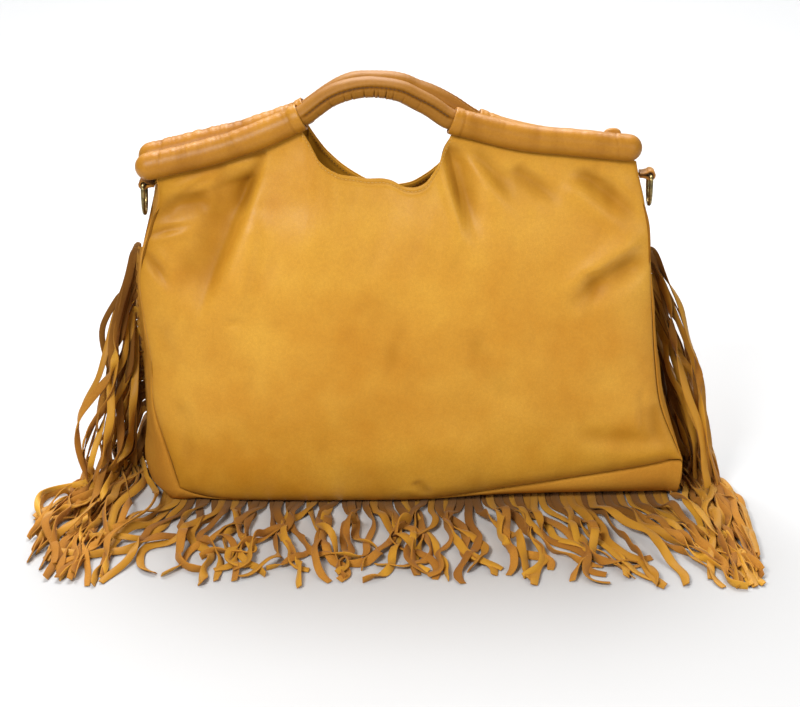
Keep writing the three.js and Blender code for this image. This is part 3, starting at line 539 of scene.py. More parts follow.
# Angles round a rod
TOP, NEAR, UNDER = math.pi / 2, math.pi, 1.5 * math.pi

SLEEVE_SIDES = 56
SLEEVE_RINGS = 110
SLEEVE_INNER_RINGS = 24
CAP_ANGLES = [math.radians(degrees) for degrees in (88, 78, 66, 54, 42, 31, 20, 10)]
LIP_ANGLES = np.radians([25, 50, 75, 90, 105, 130, 155])
SLEEVE_HEM = 7 * MM
CLOSING_SEAM = 9 * MM
GATHER_PITCH = 5.2 * MM
GRIP_SIDES = 64
GRIP_RINGS = 190
ARM_RINGS = 12
ARM_END_ANGLES = [math.radians(degrees) for degrees in (86, 60, 35, 12)]
GRIP_STEP_IN = 3 * MM
GRIP_SEAM_DEPTH = 1.0 * MM
NIP_PITCH = 3.6 * MM
PLEAT_REACH = 15 * MM

# Pleats under a grip: where along it, how deep, and how they slant and bend on their way down
PLEATED = table(
    "share deep slant bend",
    (0.09, 0.25, 0.2, 0.0),
    (0.18, 0.5, 0.15, 0.0),
    (0.28, 0.6, 0.1, 0.05),
    (0.33, 0.75, 0.0, 0.1),
    (0.415, 1.1, -0.05, 0.0),
    (0.487, 1.2, 0.1, -0.1),
    (0.515, 0.8, 0.05, -0.1),
    (0.565, 1.2, -0.25, 0.2),
    (0.615, 0.7, -0.2, 0.2),
    (0.69, 0.45, -0.1, 0.1),
    (0.79, 0.25, 0.1, 0.0),
)


def make_sleeve(name, rod, end, mouth, gathers, seed, material):
    """A casing with a rounded closed end, a turned hem at its mouth and pulls across it."""
    outward = math.copysign(1, end - mouth)
    angles = np.linspace(0, 2 * math.pi, SLEEVE_SIDES, endpoint=False)
    inner = SLEEVE_RADIUS - SLEEVE_WALL
    lip = SLEEVE_WALL / 2
    edge = mouth + outward * lip

    def station(x, radius, beyond):
        """A ring's middle, its run, its radius and its distance from the closed end."""
        tangent = rod_tangent(rod, np.array([x]))
        point = rod_point(rod, np.array([x])) + tangent * beyond
        return point[0], tangent[0], radius, abs(end - x) - outward * beyond

    def cap(radius, angles_in_order):
        return [
            station(end, radius * math.cos(a), outward * radius * math.sin(a))
            for a in angles_in_order
        ]

    stations = cap(SLEEVE_RADIUS, CAP_ANGLES)
    stations += [station(x, SLEEVE_RADIUS, 0) for x in np.linspace(end, edge, SLEEVE_RINGS)]
    for a in LIP_ANGLES:
        radius = inner + lip + lip * math.cos(a)
        stations.append(station(edge, radius, -outward * lip * math.sin(a)))
    outer_rows = len(stations)
    stations += [station(x, inner, 0) for x in np.linspace(edge, end, SLEEVE_INNER_RINGS)]
    stations += cap(inner, CAP_ANGLES[::-1])
    points = np.array([s[0] for s in stations])
    tangents = np.array([s[1] for s in stations])
    radii = np.array([s[2] for s in stations])[:, None] * np.ones(len(angles))
    run = np.array([s[3] for s in stations])[:, None]
    length = abs(end - mouth)
    swell = waves(9, 18 * MM, 80 * MM, seed)
    pulls = waves(9, 11 * MM, 30 * MM, seed + 1)
    fine = waves(9, 5 * MM, 12 * MM, seed + 2)
    girth = SLEEVE_RADIUS * angles[None, :]
    upper = hill(around(angles, TOP - 0.35 * rod["side"]), 1.0)[None, :]
    fade = ramp(run, 8 * MM) * ramp(length - run, 5 * MM)
    relief = 0.28 * MM * swell(run, 0.6 * girth)
    relief = relief + (0.06 + 0.2 * upper) * MM * pulls(run * 1.3, 0.3 * girth) * fade
    uneven_run = run + 4.5 * MM * swell(run * 1.4, 0.8 * girth)
    gather = np.abs(np.sin(math.pi * uneven_run / GATHER_PITCH))
    ruche = fine(run, 0.25 * girth) * 0.5 - (1 - gather) ** 2
    relief = relief + gathers * MM * ruche * upper * fade
    hem_run = length - run
    relief = relief + 0.45 * MM * step_down(hem_run, SLEEVE_HEM, 0.4 * MM)
    relief = relief - 0.5 * MM * hill(hem_run - SLEEVE_HEM - 1.2 * MM, 0.7 * MM)
    # A slanting seam closes the casing near its end
    from_closing = run - CLOSING_SEAM - 2.5 * MM * np.sin(angles)[None, :]
    closing = hill(from_closing, 0.8 * MM)
    relief = relief - 0.45 * MM * closing * (0.4 + 0.6 * upper)
    shape = np.minimum(np.array([s[2] for s in stations]) / SLEEVE_RADIUS, 1)[:, None]
    relief[outer_rows:] = 0
    radii = radii + relief * shape**2
    rings = tube_grid(points, tangents, radii, angles)
    # Painted shade in the hollows of the pulls and gathers, and painted highlight on their crests
    fold_shading = np.clip(-relief / MM, -1, 1.2)
    # Painted shade along the underside of the casing, carried in the seam value
    under = hill(around(angles, UNDER), 0.9)[None, :] * np.ones_like(run)
    return tube_solid(name, rings, material, {"fold_shading": fold_shading, "seam": under * 0.7})


def make_handle(name, rod, seam_from, seam_to, pleats, seed, material):
    """A padded rod in a leather cover whose gathered seam winds slowly round the grip."""
    left, right = rod["mouths"]
    angles = np.linspace(0, 2 * math.pi, GRIP_SIDES, endpoint=False)

    def rings(start, end, radius, count):
        return [(x, radius, 0) for x in np.linspace(start, end, count)]

    def rounded_end(x, outward):
        turns = [
            (x, ARM_RADIUS * math.cos(a), outward * ARM_RADIUS * math.sin(a))
            for a in ARM_END_ANGLES
        ]
        return turns if outward < 0 else turns[::-1]

    # Each ring's x, radius and how far it lies past that x along the rod
    stations = rounded_end(ROD_ENDS[0], -1)
    stations += rings(ROD_ENDS[0], left - GRIP_STEP_IN, ARM_RADIUS, ARM_RINGS)
    stations += rings(left + GRIP_STEP_IN, right - GRIP_STEP_IN, GRIP_RADIUS, GRIP_RINGS)
    stations += rings(right + GRIP_STEP_IN, ROD_ENDS[1], ARM_RADIUS, ARM_RINGS)
    stations += rounded_end(ROD_ENDS[1], 1)
    x = np.array([s[0] for s in stations])
    tangents = rod_tangent(rod, x)
    points = rod_point(rod, x) + tangents * np.array([s[2] for s in stations])[:, None]
    radii = np.array([s[1] for s in stations])[:, None] * np.ones(len(angles))
    run = arc_length(points[:, None], 0)
    share = ramp(x - left, right - left)[:, None]
    in_grip = ((share > 0) & (share < 1)).astype(float)
    seam_angle = mix(seam_from, seam_to, share)
    off = (((angles[None, :] - seam_angle + math.pi) % (2 * math.pi)) - math.pi) * GRIP_RADIUS
    swell = waves(9, 9 * MM, 40 * MM, seed)
    girth = GRIP_RADIUS * angles[None, :]
    relief = 0.22 * MM * swell(run, girth)
    relief = relief - GRIP_SEAM_DEPTH * np.exp(-np.abs(off / (0.9 * MM)) ** 1.4)
    relief = relief + 0.5 * MM * hill(np.abs(off) - 2.2 * MM, 1.2 * MM)
    nips = np.sin(2 * math.pi * (run + 0.9 * MM * swell(run, off)) / NIP_PITCH)
    relief = relief + 0.2 * MM * nips * hill(off, 2.6 * MM)
    # Pleats run from the seam round the underside, where the cover is eased in
    below = ramp(off, 2 * MM) * ramp(PLEAT_REACH - off, 4 * MM)
    length = run[-1] - run[0]
    for at, deep, slant, bend in zip(*PLEATED.values()):
        gap = (share - at) * 0.72 * length + slant * off + bend * off**2 / (10 * MM)
        wide = (0.75 + 0.05 * off / MM) * MM
        relief = relief - pleats * deep * MM * hill(gap, wide) * below
        puff = hill(gap - 3.2 * MM, 2.2 * MM)
        relief = relief + 0.35 * pleats * deep * MM * puff * below
    relief = relief * in_grip
    surface = tube_grid(points, tangents, radii + relief, angles)
    seam = hill(off, 1.8 * MM) * in_grip
    # Painted shade in the pleats and the seam groove, and painted highlight where the cover puffs
    # out
    fold_shading = np.clip(-relief / MM, -1, 1.2)
    return tube_solid(name, surface, material, {"fold_shading": fold_shading, "seam": seam})


# The panels and the gusset


def side_seam(name, z):
    return BODY_HALF * read(SIDE, name, z / BODY_HEIGHT)


def top_corner(rod, column):
    x = side_seam(column, BODY_HEIGHT)
    for _ in range(12):
        x = side_seam(column, sleeve_underside(rod, x))
    return float(x)


FOLD_STEPS = 18


def fold_relief(folds, x, z):
    """How deep the folds press a panel in at each place, and how much painted shade darkens it
    there.
    """
    relief = np.zeros(np.broadcast(x, z).shape)
    crease_shading = np.zeros(relief.shape)
    share = np.linspace(0, 1, FOLD_STEPS)
    at_start, at_bow, at_end = (1 - share) ** 2, 2 * share * (1 - share), share**2
    for k in range(len(folds["x"])):
        row = {key: values[k] for key, values in folds.items()}
        line_x = at_start * row["x"] + at_bow * row["bow_x"] + at_end * row["end_x"]
        line_z = at_start * row["z"] + at_bow * row["bow_z"] + at_end * row["end_z"]
        line_x, line_z = BODY_HALF * line_x, BODY_HEIGHT * line_z
        nearest = np.full(relief.shape, np.inf)
        signed = np.zeros(relief.shape)
        place = np.zeros(relief.shape)
        for s in range(len(share) - 1):
            run_x, run_z = line_x[s + 1] - line_x[s], line_z[s + 1] - line_z[s]
            length = math.hypot(run_x, run_z)
            off_x, off_z = x - line_x[s], z - line_z[s]
            t = np.clip((off_x * run_x + off_z * run_z) / length**2, 0, 1)
            distance = np.hypot(off_x - t * run_x, off_z - t * run_z)
            closer = distance < nearest
            nearest = np.where(closer, distance, nearest)
            beside = (off_x * run_z - off_z * run_x) / length
            signed = np.where(closer, beside, signed)
            place = np.where(closer, mix(share[s], share[s + 1], t), place)
        wide = row["wide"] * MM * (1 + row["skew"] * np.tanh(signed / (2 * MM)))
        across = np.copysign(nearest, signed) / wide
        crisp = mix(1.1, 2.0, row["edge"])
        valley = np.exp(-np.abs(across) ** crisp)
        lips = hill(across - 1.7, 1.1) + 0.5 * hill(across + 1.8, 1.2)
        fade = ramp(place, 0.22) * ramp(1 - place, 0.45)
        fade = fade * fade * (3 - 2 * fade)
        relief += row["deep"] * MM * fade * (valley - row["lip"] * 0.5 * lips)
        marked = row["deep"] / (3.5 + abs(row["deep"])) * min(1, abs(row["deep"]) / 3.2)
        # Painted shade along the bottom of each fold
        crease_shading += fade * hill(across, 0.9) * marked
    return relief, crease_shading


# How far each panel rolls in at its bottom seam, and over what height
ROLLS = {"back": 9 * MM, "front": 1 * MM}
ROLL_HEIGHT = 8 * MM
# How far the far hem slumps against the near one, and over what height
HEM_SLUMP = {"back": 0, "front": 9 * MM}
SLUMP_HEIGHT = 40 * MM
# How far the leather is pulled in along the side seams
SIDE_PULL = 6 * MM
SIDE_PULL_WIDTH = 10 * MM
# Painted shade that darkens the leather towards each of its edges: how dark, and how far in from
# the edge
PAINTED_EDGE_SHADE = {
    "left": (0.5, 26 * MM),
    "right": (0.12, 14 * MM),
    "foot": (0.12, 40 * MM),
    "brow": (0.24, 50 * MM),
}
SEAM_ROUND = 2.6 * MM
HEM_ROUND = 1.6 * MM
HEM_WIDTH = 6.5 * MM
LINING_FROM = 21 * MM
HALF_ROWS = 66
SLEEVE_COLUMNS = 58
HEM_COLUMNS = 84


def panel_surface(name, folds, seed):
    """The outer face of a panel as a grid, a row of points for each place along its top."""
    rod = FRAMES[name]
    left_mouth, right_mouth = rod["mouths"]
    corners = [top_corner(rod, name + "_left"), top_corner(rod, name + "_right")]
    hem_shares = (1 - np.cos(np.linspace(0, math.pi, HEM_COLUMNS))) / 2
    top_x = np.concatenate([
        mix(corners[0], left_mouth, crowded(SLEEVE_COLUMNS))[:-1],
        mix(left_mouth, right_mouth, hem_shares)[:-1],
        mix(corners[1], right_mouth, crowded(SLEEVE_COLUMNS))[::-1],
    ])
    line = sleeve_underside(rod, top_x)
    along = (top_x - left_mouth) / (right_mouth - left_mouth)
    in_hem = (along > 0) & (along < 1)
    ends = sleeve_underside(rod, np.array([left_mouth, right_mouth]))
    line = np.where(in_hem, mix(ends[0], ends[1], along), line)
    top = line - np.where(in_hem, CUTOUT_DEPTH * read(HEM, name, np.clip(along, 0, 1)), 0)
    frill = waves(8, 9 * MM, 26 * MM, seed + 5)
    top = top + 0.3 * MM * frill(top_x, 0.0) * np.clip(8 * along * (1 - along), 0, 1) * in_hem
    left, right = side_seam(name + "_left", top), side_seam(name + "_right", top)
    share = (top_x - left) / (right - left)
    share[0], share[-1] = 0, 1
    bottom = BODY_HEIGHT * read(BOTTOM, name, share)
    crown = (1 - np.abs(2 * share - 1) ** 2.6)[:, None]
    up = crowded_twice(HALF_ROWS)[None, :]
    z = mix(bottom[:, None], top[:, None], up)
    x = mix(side_seam(name + "_left", z), side_seam(name + "_right", z), share[:, None])
    middle = np.where(in_hem, np.sin(math.pi * np.clip(along, 0, 1)) ** 2, 0)[:, None]
    place = (z - bottom[:, None]) / (line - bottom)[:, None]
    place = place + HEM_LIFT * CUTOUT_DEPTH / BODY_HEIGHT * middle * up**2
    edge = read(DEPTH, "edge", place)
    swell = read(DEPTH, "swell", place)
    relief, crease_shading = fold_relief(folds, x, z)
    slack = waves(10, 45 * MM, 120 * MM, seed)
    ripple = waves(12, 14 * MM, 36 * MM, seed + 1)
    pulls = waves(10, 9 * MM, 17 * MM, seed + 2)
    below = (line[:, None] - z) / (22 * MM)
    gather = np.exp(-np.abs(below)) * np.clip(below * 4, 0, 1)
    relief = relief + 0.9 * MM * slack(x, z) + 0.2 * MM * ripple(x, z * 0.7)
    relief = relief + 0.85 * MM * gather * pulls(x * 1.2, z * 0.25)
    border = np.minimum(1, 5 * crown) * np.minimum(1, 5 * swell)
    relief = relief * border
    stand = mix(FRAME_SPACING / 2, BOTTOM_DEPTH / 2, edge) + FULLNESS * swell * crown - relief
    from_side = np.minimum(x - x[:1], x[-1:] - x)
    roll = fading(z - bottom[:, None], ROLL_HEIGHT)
    stand = stand - ROLLS[name] * roll * np.minimum(1, 8 * crown)
    pull = fading(from_side, SIDE_PULL_WIDTH)
    stand = stand - SIDE_PULL * pull * step_down(place, 0.62, 0.05)
    slump = fading(top[:, None] - z, SLUMP_HEIGHT)
    stand = stand - HEM_SLUMP[name] * middle * slump
    grid = np.stack([x, rod["side"] * stand, z], -1)
    # Painted shade follows the ripples, and painted highlight lies on the bulges that stand out
    crease_shading = crease_shading + 0.12 * ripple(x, z * 0.7) - 0.3 * ramp(-relief, 2 * MM)
    return {"grid": grid, "crease_shading": crease_shading, "in_hem": in_hem, "name": name}


def round_off(distance, radius):
    """How much of a sheet's thickness has rounded away near an edge, never quite all of it."""
    share = 1 - ramp(distance, radius)
    return np.minimum(1 - np.sqrt(np.maximum(0, 1 - share**2)), 0.94)


BAG_MIDDLE = np.array([0, 0, 100 * MM])


def make_panel(surface, material):
    """A sheet with rounded turned seams, and a folded hem round the cut-out."""
    grid = surface["grid"]
    normals = grid_normals(grid, BAG_MIDDLE * (1, 0, 1))
    up = arc_length(grid, 1)
    down = up[:, -1:] - up
    from_left = arc_length(grid, 0)
    from_right = from_left[-1:] - from_left
    to_seam = np.minimum(np.minimum(up, from_left), from_right)
    to_hem = np.where(surface["in_hem"][:, None], down, 1.0)
    seam_round = round_off(to_seam, SEAM_ROUND)
    hem_round = round_off(to_hem, HEM_ROUND)
    folded = step_down(to_hem, HEM_WIDTH, 0.35 * MM)
    stitched = hill(to_hem - HEM_STITCH, 0.8 * MM)
    thickness = LEATHER + 1.1 * MM * folded
    outer_drop = LEATHER * seam_round + thickness * hem_round / 2
    outer_drop = outer_drop - 0.5 * MM * folded + 0.4 * MM * stitched
    inner_drop = thickness - 0.5 * MM * folded - thickness * hem_round / 2
    outer = grid - normals * outer_drop[..., None]
    inner = grid - normals * inner_drop[..., None]
    piece = sheet_solid("body_" + surface["name"], outer, inner)
    fold_shading = np.clip(surface["crease_shading"], -1, 1)
    edge = fading(to_seam, 2.5 * MM)
    seam = 0.5 * edge + 0.55 * stitched + 0.4 * fading(to_hem, 1.2 * MM)
    # Painted shade just under the sleeves and towards each edge, added to the seam value that also
    # darkens the seams
    shade = fading(down, 4 * MM) * (~surface["in_hem"][:, None])
    distances = {"left": from_left, "right": from_right, "foot": up, "brow": down}
    tone_shift = sum(dark * fading(distances[key], reach) for key, (dark, reach) in PAINTED_EDGE_SHADE.items())
    seam = np.clip(seam + 0.7 * shade + tone_shift, 0, 1)
    add_attribute(piece, "fold_shading", np.concatenate([fold_shading.ravel(), fold_shading.ravel() * 0]))
    add_attribute(piece, "seam", np.concatenate([seam.ravel(), 0.5 * edge.ravel()]))
    lining = 1 - step_down(to_hem, LINING_FROM, 0.4 * MM).ravel()
    add_attribute(piece, "inside", np.concatenate([np.zeros(fold_shading.size), lining]))
    piece.data.materials.append(material)
    surface["outer"], surface["inner"], surface["normals"] = outer, inner, normals
    surface["to_hem"] = to_hem
    return piece


def seam_line(grid):
    """The seam of a panel from its left top corner down, along the bottom and up again."""
    return np.concatenate([grid[0, ::-1], grid[1:-1, 0], grid[-1]])


HALF_GUSSET_COLUMNS = 15
# The gusset has ripples between these two heights
RIPPLES_FROM = 12 * MM
RIPPLES_TO = 250 * MM


def gusset_surface(back, front):
    """The outer face of the gusset, a row of points across it for each place along the seams."""
    back_seam, front_seam = seam_line(back["grid"]), seam_line(front["grid"])
    run = np.gradient(back_seam + front_seam, axis=0)
    run[:, 1] = 0
    outward = unit(np.cross(np.array([0.0, 1.0, 0.0]), run))
    middle = (back_seam[:, 2] + front_seam[:, 2]) / 2 / BODY_HEIGHT
    on_left = outward[:, 0] < 0
    bulge = np.where(on_left, read(ROUND, "left", middle), read(ROUND, "right", middle))
    side = (GUSSET_FULLNESS * bulge * np.abs(outward[:, 0]))[:, None]
    under = np.maximum(0, -outward[:, 2]) * 1.5
    back_pull = back_seam + outward * side
    front_pull = front_seam + outward * side
    back_pull[:, 2] -= under * (back_seam[:, 2] - FLOOR_CLEARANCE)
    back_pull[:, 1] -= 0.25 * under * np.maximum(0, back_seam[:, 2] - front_seam[:, 2])
    front_pull[:, 2] -= under * (front_seam[:, 2] - FLOOR_CLEARANCE)
    t = crowded_twice(HALF_GUSSET_COLUMNS)[None, :, None]
    corners = [line[:, None] for line in (back_seam, back_pull, front_pull, front_seam)]
    grid = (1 - t) ** 3 * corners[0] + 3 * t * (1 - t) ** 2 * corners[1]
    grid = grid + 3 * t**2 * (1 - t) * corners[2] + t**3 * corners[3]
    grid[..., 2] = np.maximum(grid[..., 2], FLOOR_CLEARANCE)
    return grid


def make_gusset(back, front, material):
    grid = gusset_surface(back, front)
    normals = grid_normals(grid, BAG_MIDDLE)
    across = arc_length(grid, 1)
    to_seam = np.minimum(across, across[:, -1:] - across)
    lengths = arc_length(grid, 0)
    ripple = waves(12, 16 * MM, 50 * MM, 71)
    height = grid[..., 2]
    loose = ramp(height - RIPPLES_FROM, 30 * MM) * ramp(RIPPLES_TO - height, 40 * MM)
    loose = loose * ramp(to_seam, 8 * MM)
    relief = 0.8 * MM * ripple(lengths * 0.6, across) * loose
    grid = grid - normals * relief[..., None]
    drop = round_off(to_seam, SEAM_ROUND) * LEATHER
    outer = grid - normals * drop[..., None]
    inner = grid - normals * LEATHER
    piece = sheet_solid("body_gusset", outer, inner)
    # Painted shade: the gusset is a little darker all over and more on its left side, carried in
    # the seam value
    tone_shift = 0.1 + 0.2 * step_down(grid[..., 0], -0.7 * BODY_HALF, 12 * MM)
    seam = np.maximum(tone_shift, 0.55 * fading(to_seam, 3.5 * MM)).ravel()
    # Painted shade in the ripples' hollows and painted highlight on their crests
    fold_shading = np.clip(relief / (2 * MM), -1, 1).ravel()
    add_attribute(piece, "fold_shading", np.concatenate([fold_shading, fold_shading * 0]))
    add_attribute(piece, "seam", np.concatenate([seam, seam]))
    add_attribute(piece, "inside", np.concatenate([np.zeros(seam.size), np.ones(seam.size)]))
    piece.data.materials.append(material)
    return piece


# Geometry Nodes trees


def new_tree(name, sizes):
    """A tree with a geometry input, the named sizes and a material."""
    tree = bpy.data.node_groups.new(name, "GeometryNodeTree")
    tree.interface.new_socket("Geometry", in_out="INPUT", socket_type="NodeSocketGeometry")
    for size, value in sizes.items():
        socket = tree.interface.new_socket(size, in_out="INPUT", socket_type="NodeSocketFloat")
        socket.default_value = value
    tree.interface.new_socket("Material", in_out="INPUT", socket_type="NodeSocketMaterial")
    tree.interface.new_socket("Geometry", in_out="OUTPUT", socket_type="NodeSocketGeometry")
    return tree, tree.nodes.new("NodeGroupInput"), tree.nodes.new("NodeGroupOutput")


def add_node(tree, kind, links=None, **settings):
    """A node with its settings, and its inputs given by name as sockets or plain values."""
    node = tree.nodes.new(kind)
    for key, value in settings.items():
        setattr(node, key, value)
    for key, value in (links or {}).items():
        socket = node.inputs[key]
        if isinstance(value, bpy.types.NodeSocket):
            tree.links.new(value, socket)
        else:
            socket.default_value = value
    return node


def named_value(tree, name, kind="FLOAT"):
    """A value that the lines carry on their points."""
    node = add_node(tree, "GeometryNodeInputNamedAttribute", {"Name": name}, data_type=kind)
    return node.outputs["Attribute"]


def given_curve(tree, given):
    """The lines that a tree is given, as curves."""
    return add_node(tree, "GeometryNodeMeshToCurve", {"Mesh": given.outputs["Geometry"]}).outputs[0]


def close_tree(tree, geometry, given, result):
    """Shades the grown mesh smooth, makes it real and gives it the material."""
    links = {"Geometry": geometry, "Shade Smooth": True}
    smooth = add_node(tree, "GeometryNodeSetShadeSmooth", links)
    real = add_node(tree, "GeometryNodeRealizeInstances", {"Geometry": smooth.outputs[0]})
    links = {"Geometry": real.outputs[0], "Material": given.outputs["Material"]}
    finished = add_node(tree, "GeometryNodeSetMaterial", links)
    tree.links.new(finished.outputs[0], result.inputs[0])


def ribbon_tree():
    """Sweeps a flat section with eased corners along lines that carry their own facing."""
    sizes = {"Width": 7 * MM, "Thickness": 1.2 * MM}
    tree, given, result = new_tree("strip_ribbon", sizes)
    width, thickness = given.outputs["Width"], given.outputs["Thickness"]
    facing = named_value(tree, "facing", "FLOAT_VECTOR")
    links = {"Curve": given_curve(tree, given), "Normal": facing}
    turned = add_node(tree, "GeometryNodeSetCurveNormal", links, mode="FREE")
    links = {"Width": width, "Height": thickness}
    section = add_node(tree, "GeometryNodeCurvePrimitiveQuadrilateral", links)
    easing = add_node(tree, "ShaderNodeMath", {0: thickness, 1: 0.3}, operation="MULTIPLY")
    links = {"Curve": section.outputs[0], "Radius": easing.outputs[0], "Limit Radius": True}
    eased = add_node(tree, "GeometryNodeFilletCurve", links, mode="POLY")
    # The section's upper half is the grained side, marked 1, and its lower half the suede, 0
    place = add_node(tree, "GeometryNodeInputPosition")
    height = add_node(tree, "ShaderNodeSeparateXYZ", {0: place.outputs[0]}).outputs["Y"]
    share = add_node(tree, "ShaderNodeMath", {0: height, 1: thickness}, operation="DIVIDE")
    side = add_node(tree, "ShaderNodeMath", {0: share.outputs[0], 1: 0.5}, operation="ADD")
    marked = add_node(
        tree,
        "GeometryNodeStoreNamedAttribute",
        {"Geometry": eased.outputs[0], "Name": "grain_side", "Value": side.outputs[0]},
        data_type="FLOAT",
        domain="POINT",
    )
    links = {"Curve": turned.outputs[0], "Profile Curve": marked.outputs[0], "Fill Caps": True}
    links["Scale"] = named_value(tree, "broad")
    swept = add_node(tree, "GeometryNodeCurveToMesh", links)
    close_tree(tree, swept.outputs[0], given, result)
    return tree


def stitch_tree():
    """Lays small thread stitches end to end along a line, each one sunk at its two ends."""
    sizes = {"Spacing": 3 * MM, "Stitch": 2.2 * MM, "Thread": 0.35 * MM}
    tree, given, result = new_tree("stitch_row", sizes)
    links = {"Curve": given_curve(tree, given), "Length": given.outputs["Spacing"]}
    even = add_node(tree, "GeometryNodeResampleCurve", links, mode="LENGTH")
    ball = add_node(tree, "GeometryNodeMeshUVSphere", {"Segments": 8, "Rings": 6, "Radius": 0.5})
    links = {"Vector": add_node(tree, "GeometryNodeInputTangent").outputs[0]}
    turn = add_node(tree, "FunctionNodeAlignRotationToVector", links, axis="X")
    long, thick = given.outputs["Stitch"], given.outputs["Thread"]
    size = add_node(tree, "ShaderNodeCombineXYZ", {"X": long, "Y": thick, "Z": thick})
    links = {"Points": even.outputs[0], "Instance": ball.outputs["Mesh"]}
    links.update({"Rotation": turn.outputs[0], "Scale": size.outputs[0]})
    placed = add_node(tree, "GeometryNodeInstanceOnPoints", links)
    real = add_node(tree, "GeometryNodeRealizeInstances", {"Geometry": placed.outputs[0]})
    close_tree(tree, real.outputs[0], given, result)
    return tree


def lines_object(name, lines, attributes=None):
    """One mesh of open lines, with named values on its points."""
    points = np.concatenate(lines)
    edges, start = [], 0
    for line in lines:
        edges += [(start + k, start + k + 1) for k in range(len(line) - 1)]
        start += len(line)
    mesh = bpy.data.meshes.new(name)
    mesh.from_pydata(points.tolist(), edges, [])
    for key, values in (attributes or {}).items():
        values = np.concatenate(values).astype(np.float32)
        kind = "FLOAT" if values.ndim == 1 else "FLOAT_VECTOR"
        attribute = mesh.attributes.new(key, kind, "POINT")
        attribute.data.foreach_set("value" if kind == "FLOAT" else "vector", values.ravel())
    piece = bpy.data.objects.new(name, mesh)
    bpy.context.scene.collection.objects.link(piece)
    return piece


def grow(piece, tree, material, sizes):
    """Runs a tree on an object and keeps the result as its plain mesh."""
    modifier = piece.modifiers.new("grow", "NODES")
    modifier.node_group = tree
    for item in tree.interface.items_tree:
        if item.in_out != "INPUT":
            continue
        if item.name in sizes:
            modifier[item.identifier] = sizes[item.name]
        elif item.name == "Material":
            modifier[item.identifier] = material
    piece.data.update()
    bpy.context.view_layer.update()
    evaluated = piece.evaluated_get(bpy.context.evaluated_depsgraph_get())
    mesh = bpy.data.meshes.new_from_object(evaluated)
    piece.modifiers.remove(modifier)
    old = piece.data
    piece.data = mesh
    mesh.name = old.name
    bpy.data.meshes.remove(old)
    face_outwards(mesh)
    return piece


def face_outwards(mesh):
    """Flips a mesh of closed bodies if its faces point in."""
    points = np.empty(len(mesh.vertices) * 3)
    mesh.vertices.foreach_get("co", points)
    points = points.reshape(-1, 3)
    mesh.calc_loop_triangles()
    corners = np.empty(len(mesh.loop_triangles) * 3, int)
    mesh.loop_triangles.foreach_get("vertices", corners)
    a, b, c = (points[corners.reshape(-1, 3)[:, k]] for k in range(3))
    if np.einsum("ij,ij->", a, np.cross(b, c)) < 0:
        mesh.flip_normals()


# The fringe


def smooth_path(points, step):
    """A smooth line through points, sampled at even steps of its length."""
    points = np.asarray(points, float)
    padded = np.concatenate([[2 * points[0] - points[1]], points, [2 * points[-1] - points[-2]]])
    t = np.linspace(0, 1, 24, endpoint=False)[:, None]
    dense = []
    for k in range(1, len(padded) - 2):
        p0, p1, p2, p3 = padded[k - 1 : k + 3]
        squared = 2 * p0 - 5 * p1 + 4 * p2 - p3
        cubed = 3 * p1 - p0 - 3 * p2 + p3
        dense.append(0.5 * (2 * p1 + (p2 - p0) * t + squared * t**2 + cubed * t**3))
    dense = np.concatenate(dense + [points[-1:]])
    length = arc_length(dense[:, None], 0)[:, 0]
    count = max(4, int(round(length[-1] / step)))
    at = np.linspace(0, length[-1], count + 1)
    return np.stack([np.interp(at, length, dense[:, k]) for k in range(3)], -1)


def wander(count, step, wavelength):
    """A smooth random run of values about 0, one for each step of a strip."""
    knots = max(4, int(count * step / wavelength) + 3)
    values = rng.normal(0, 1, knots)
    at = np.linspace(0, knots - 1, count)
    k = np.clip(at.astype(int), 0, knots - 2)
    t = at - k
    t = t * t * (3 - 2 * t)
    return mix(values[k], values[k + 1], t)


def facings(line, twist, start=None):
    """Width directions along a line, carried without turning and then twisted."""
    tangents = unit(np.gradient(line, axis=0))
    level = np.cross(tangents[0], (0, 0, 1)) if start is None else np.asarray(start, float)
    level = unit(level - tangents[0] * (level @ tangents[0]))
    carried = [level]
    for tangent in tangents[1:]:
        level = unit(level - tangent * (level @ tangent))
        carried.append(level)
    carried = np.array(carried)
    other = np.cross(tangents, carried)
    return np.cos(twist)[:, None] * carried + np.sin(twist)[:, None] * other


STRIP_COUNTS = {"bottom": 70, "left": 32, "right": 34}
STRIP_WIDTH = 6.5 * MM
STRIP_THICKNESS = 1.25 * MM
STEP = 3.4 * MM
SPLAY = math.radians(37)
OUTWARDS = {side: np.array([side * math.cos(SPLAY), math.sin(SPLAY), 0]) for side in (-1, 1)}
# The bottom seam's place in the depth, and the header's place and width (a share) behind it
SEAM_Y = BOTTOM_DEPTH / 2
HEADER_Y = SEAM_Y + 4 * MM
HEADER_WIDTH = 0.8

# Crossed strips near the floor are pushed apart, and all but their roots off the body
CROSSING_CEILING = 40 * MM
CROSSING_SEARCH = 5 * MM
CROSSING_WIDTH = 6 * MM
CROSSING_GAP = 1.6 * MM
BODY_SEARCH = 20 * MM
BODY_GAP = 1.2 * MM
ROOT_POINTS = 4


def strip_reach(side, broad):
    """How far a strip's section reaches up and down from its middle line."""
    rise = np.abs(side[:, 2])
    lying = np.sqrt(np.maximum(0, 1 - rise**2))
    return rise * broad * STRIP_WIDTH / 2 + lying * STRIP_THICKNESS / 2


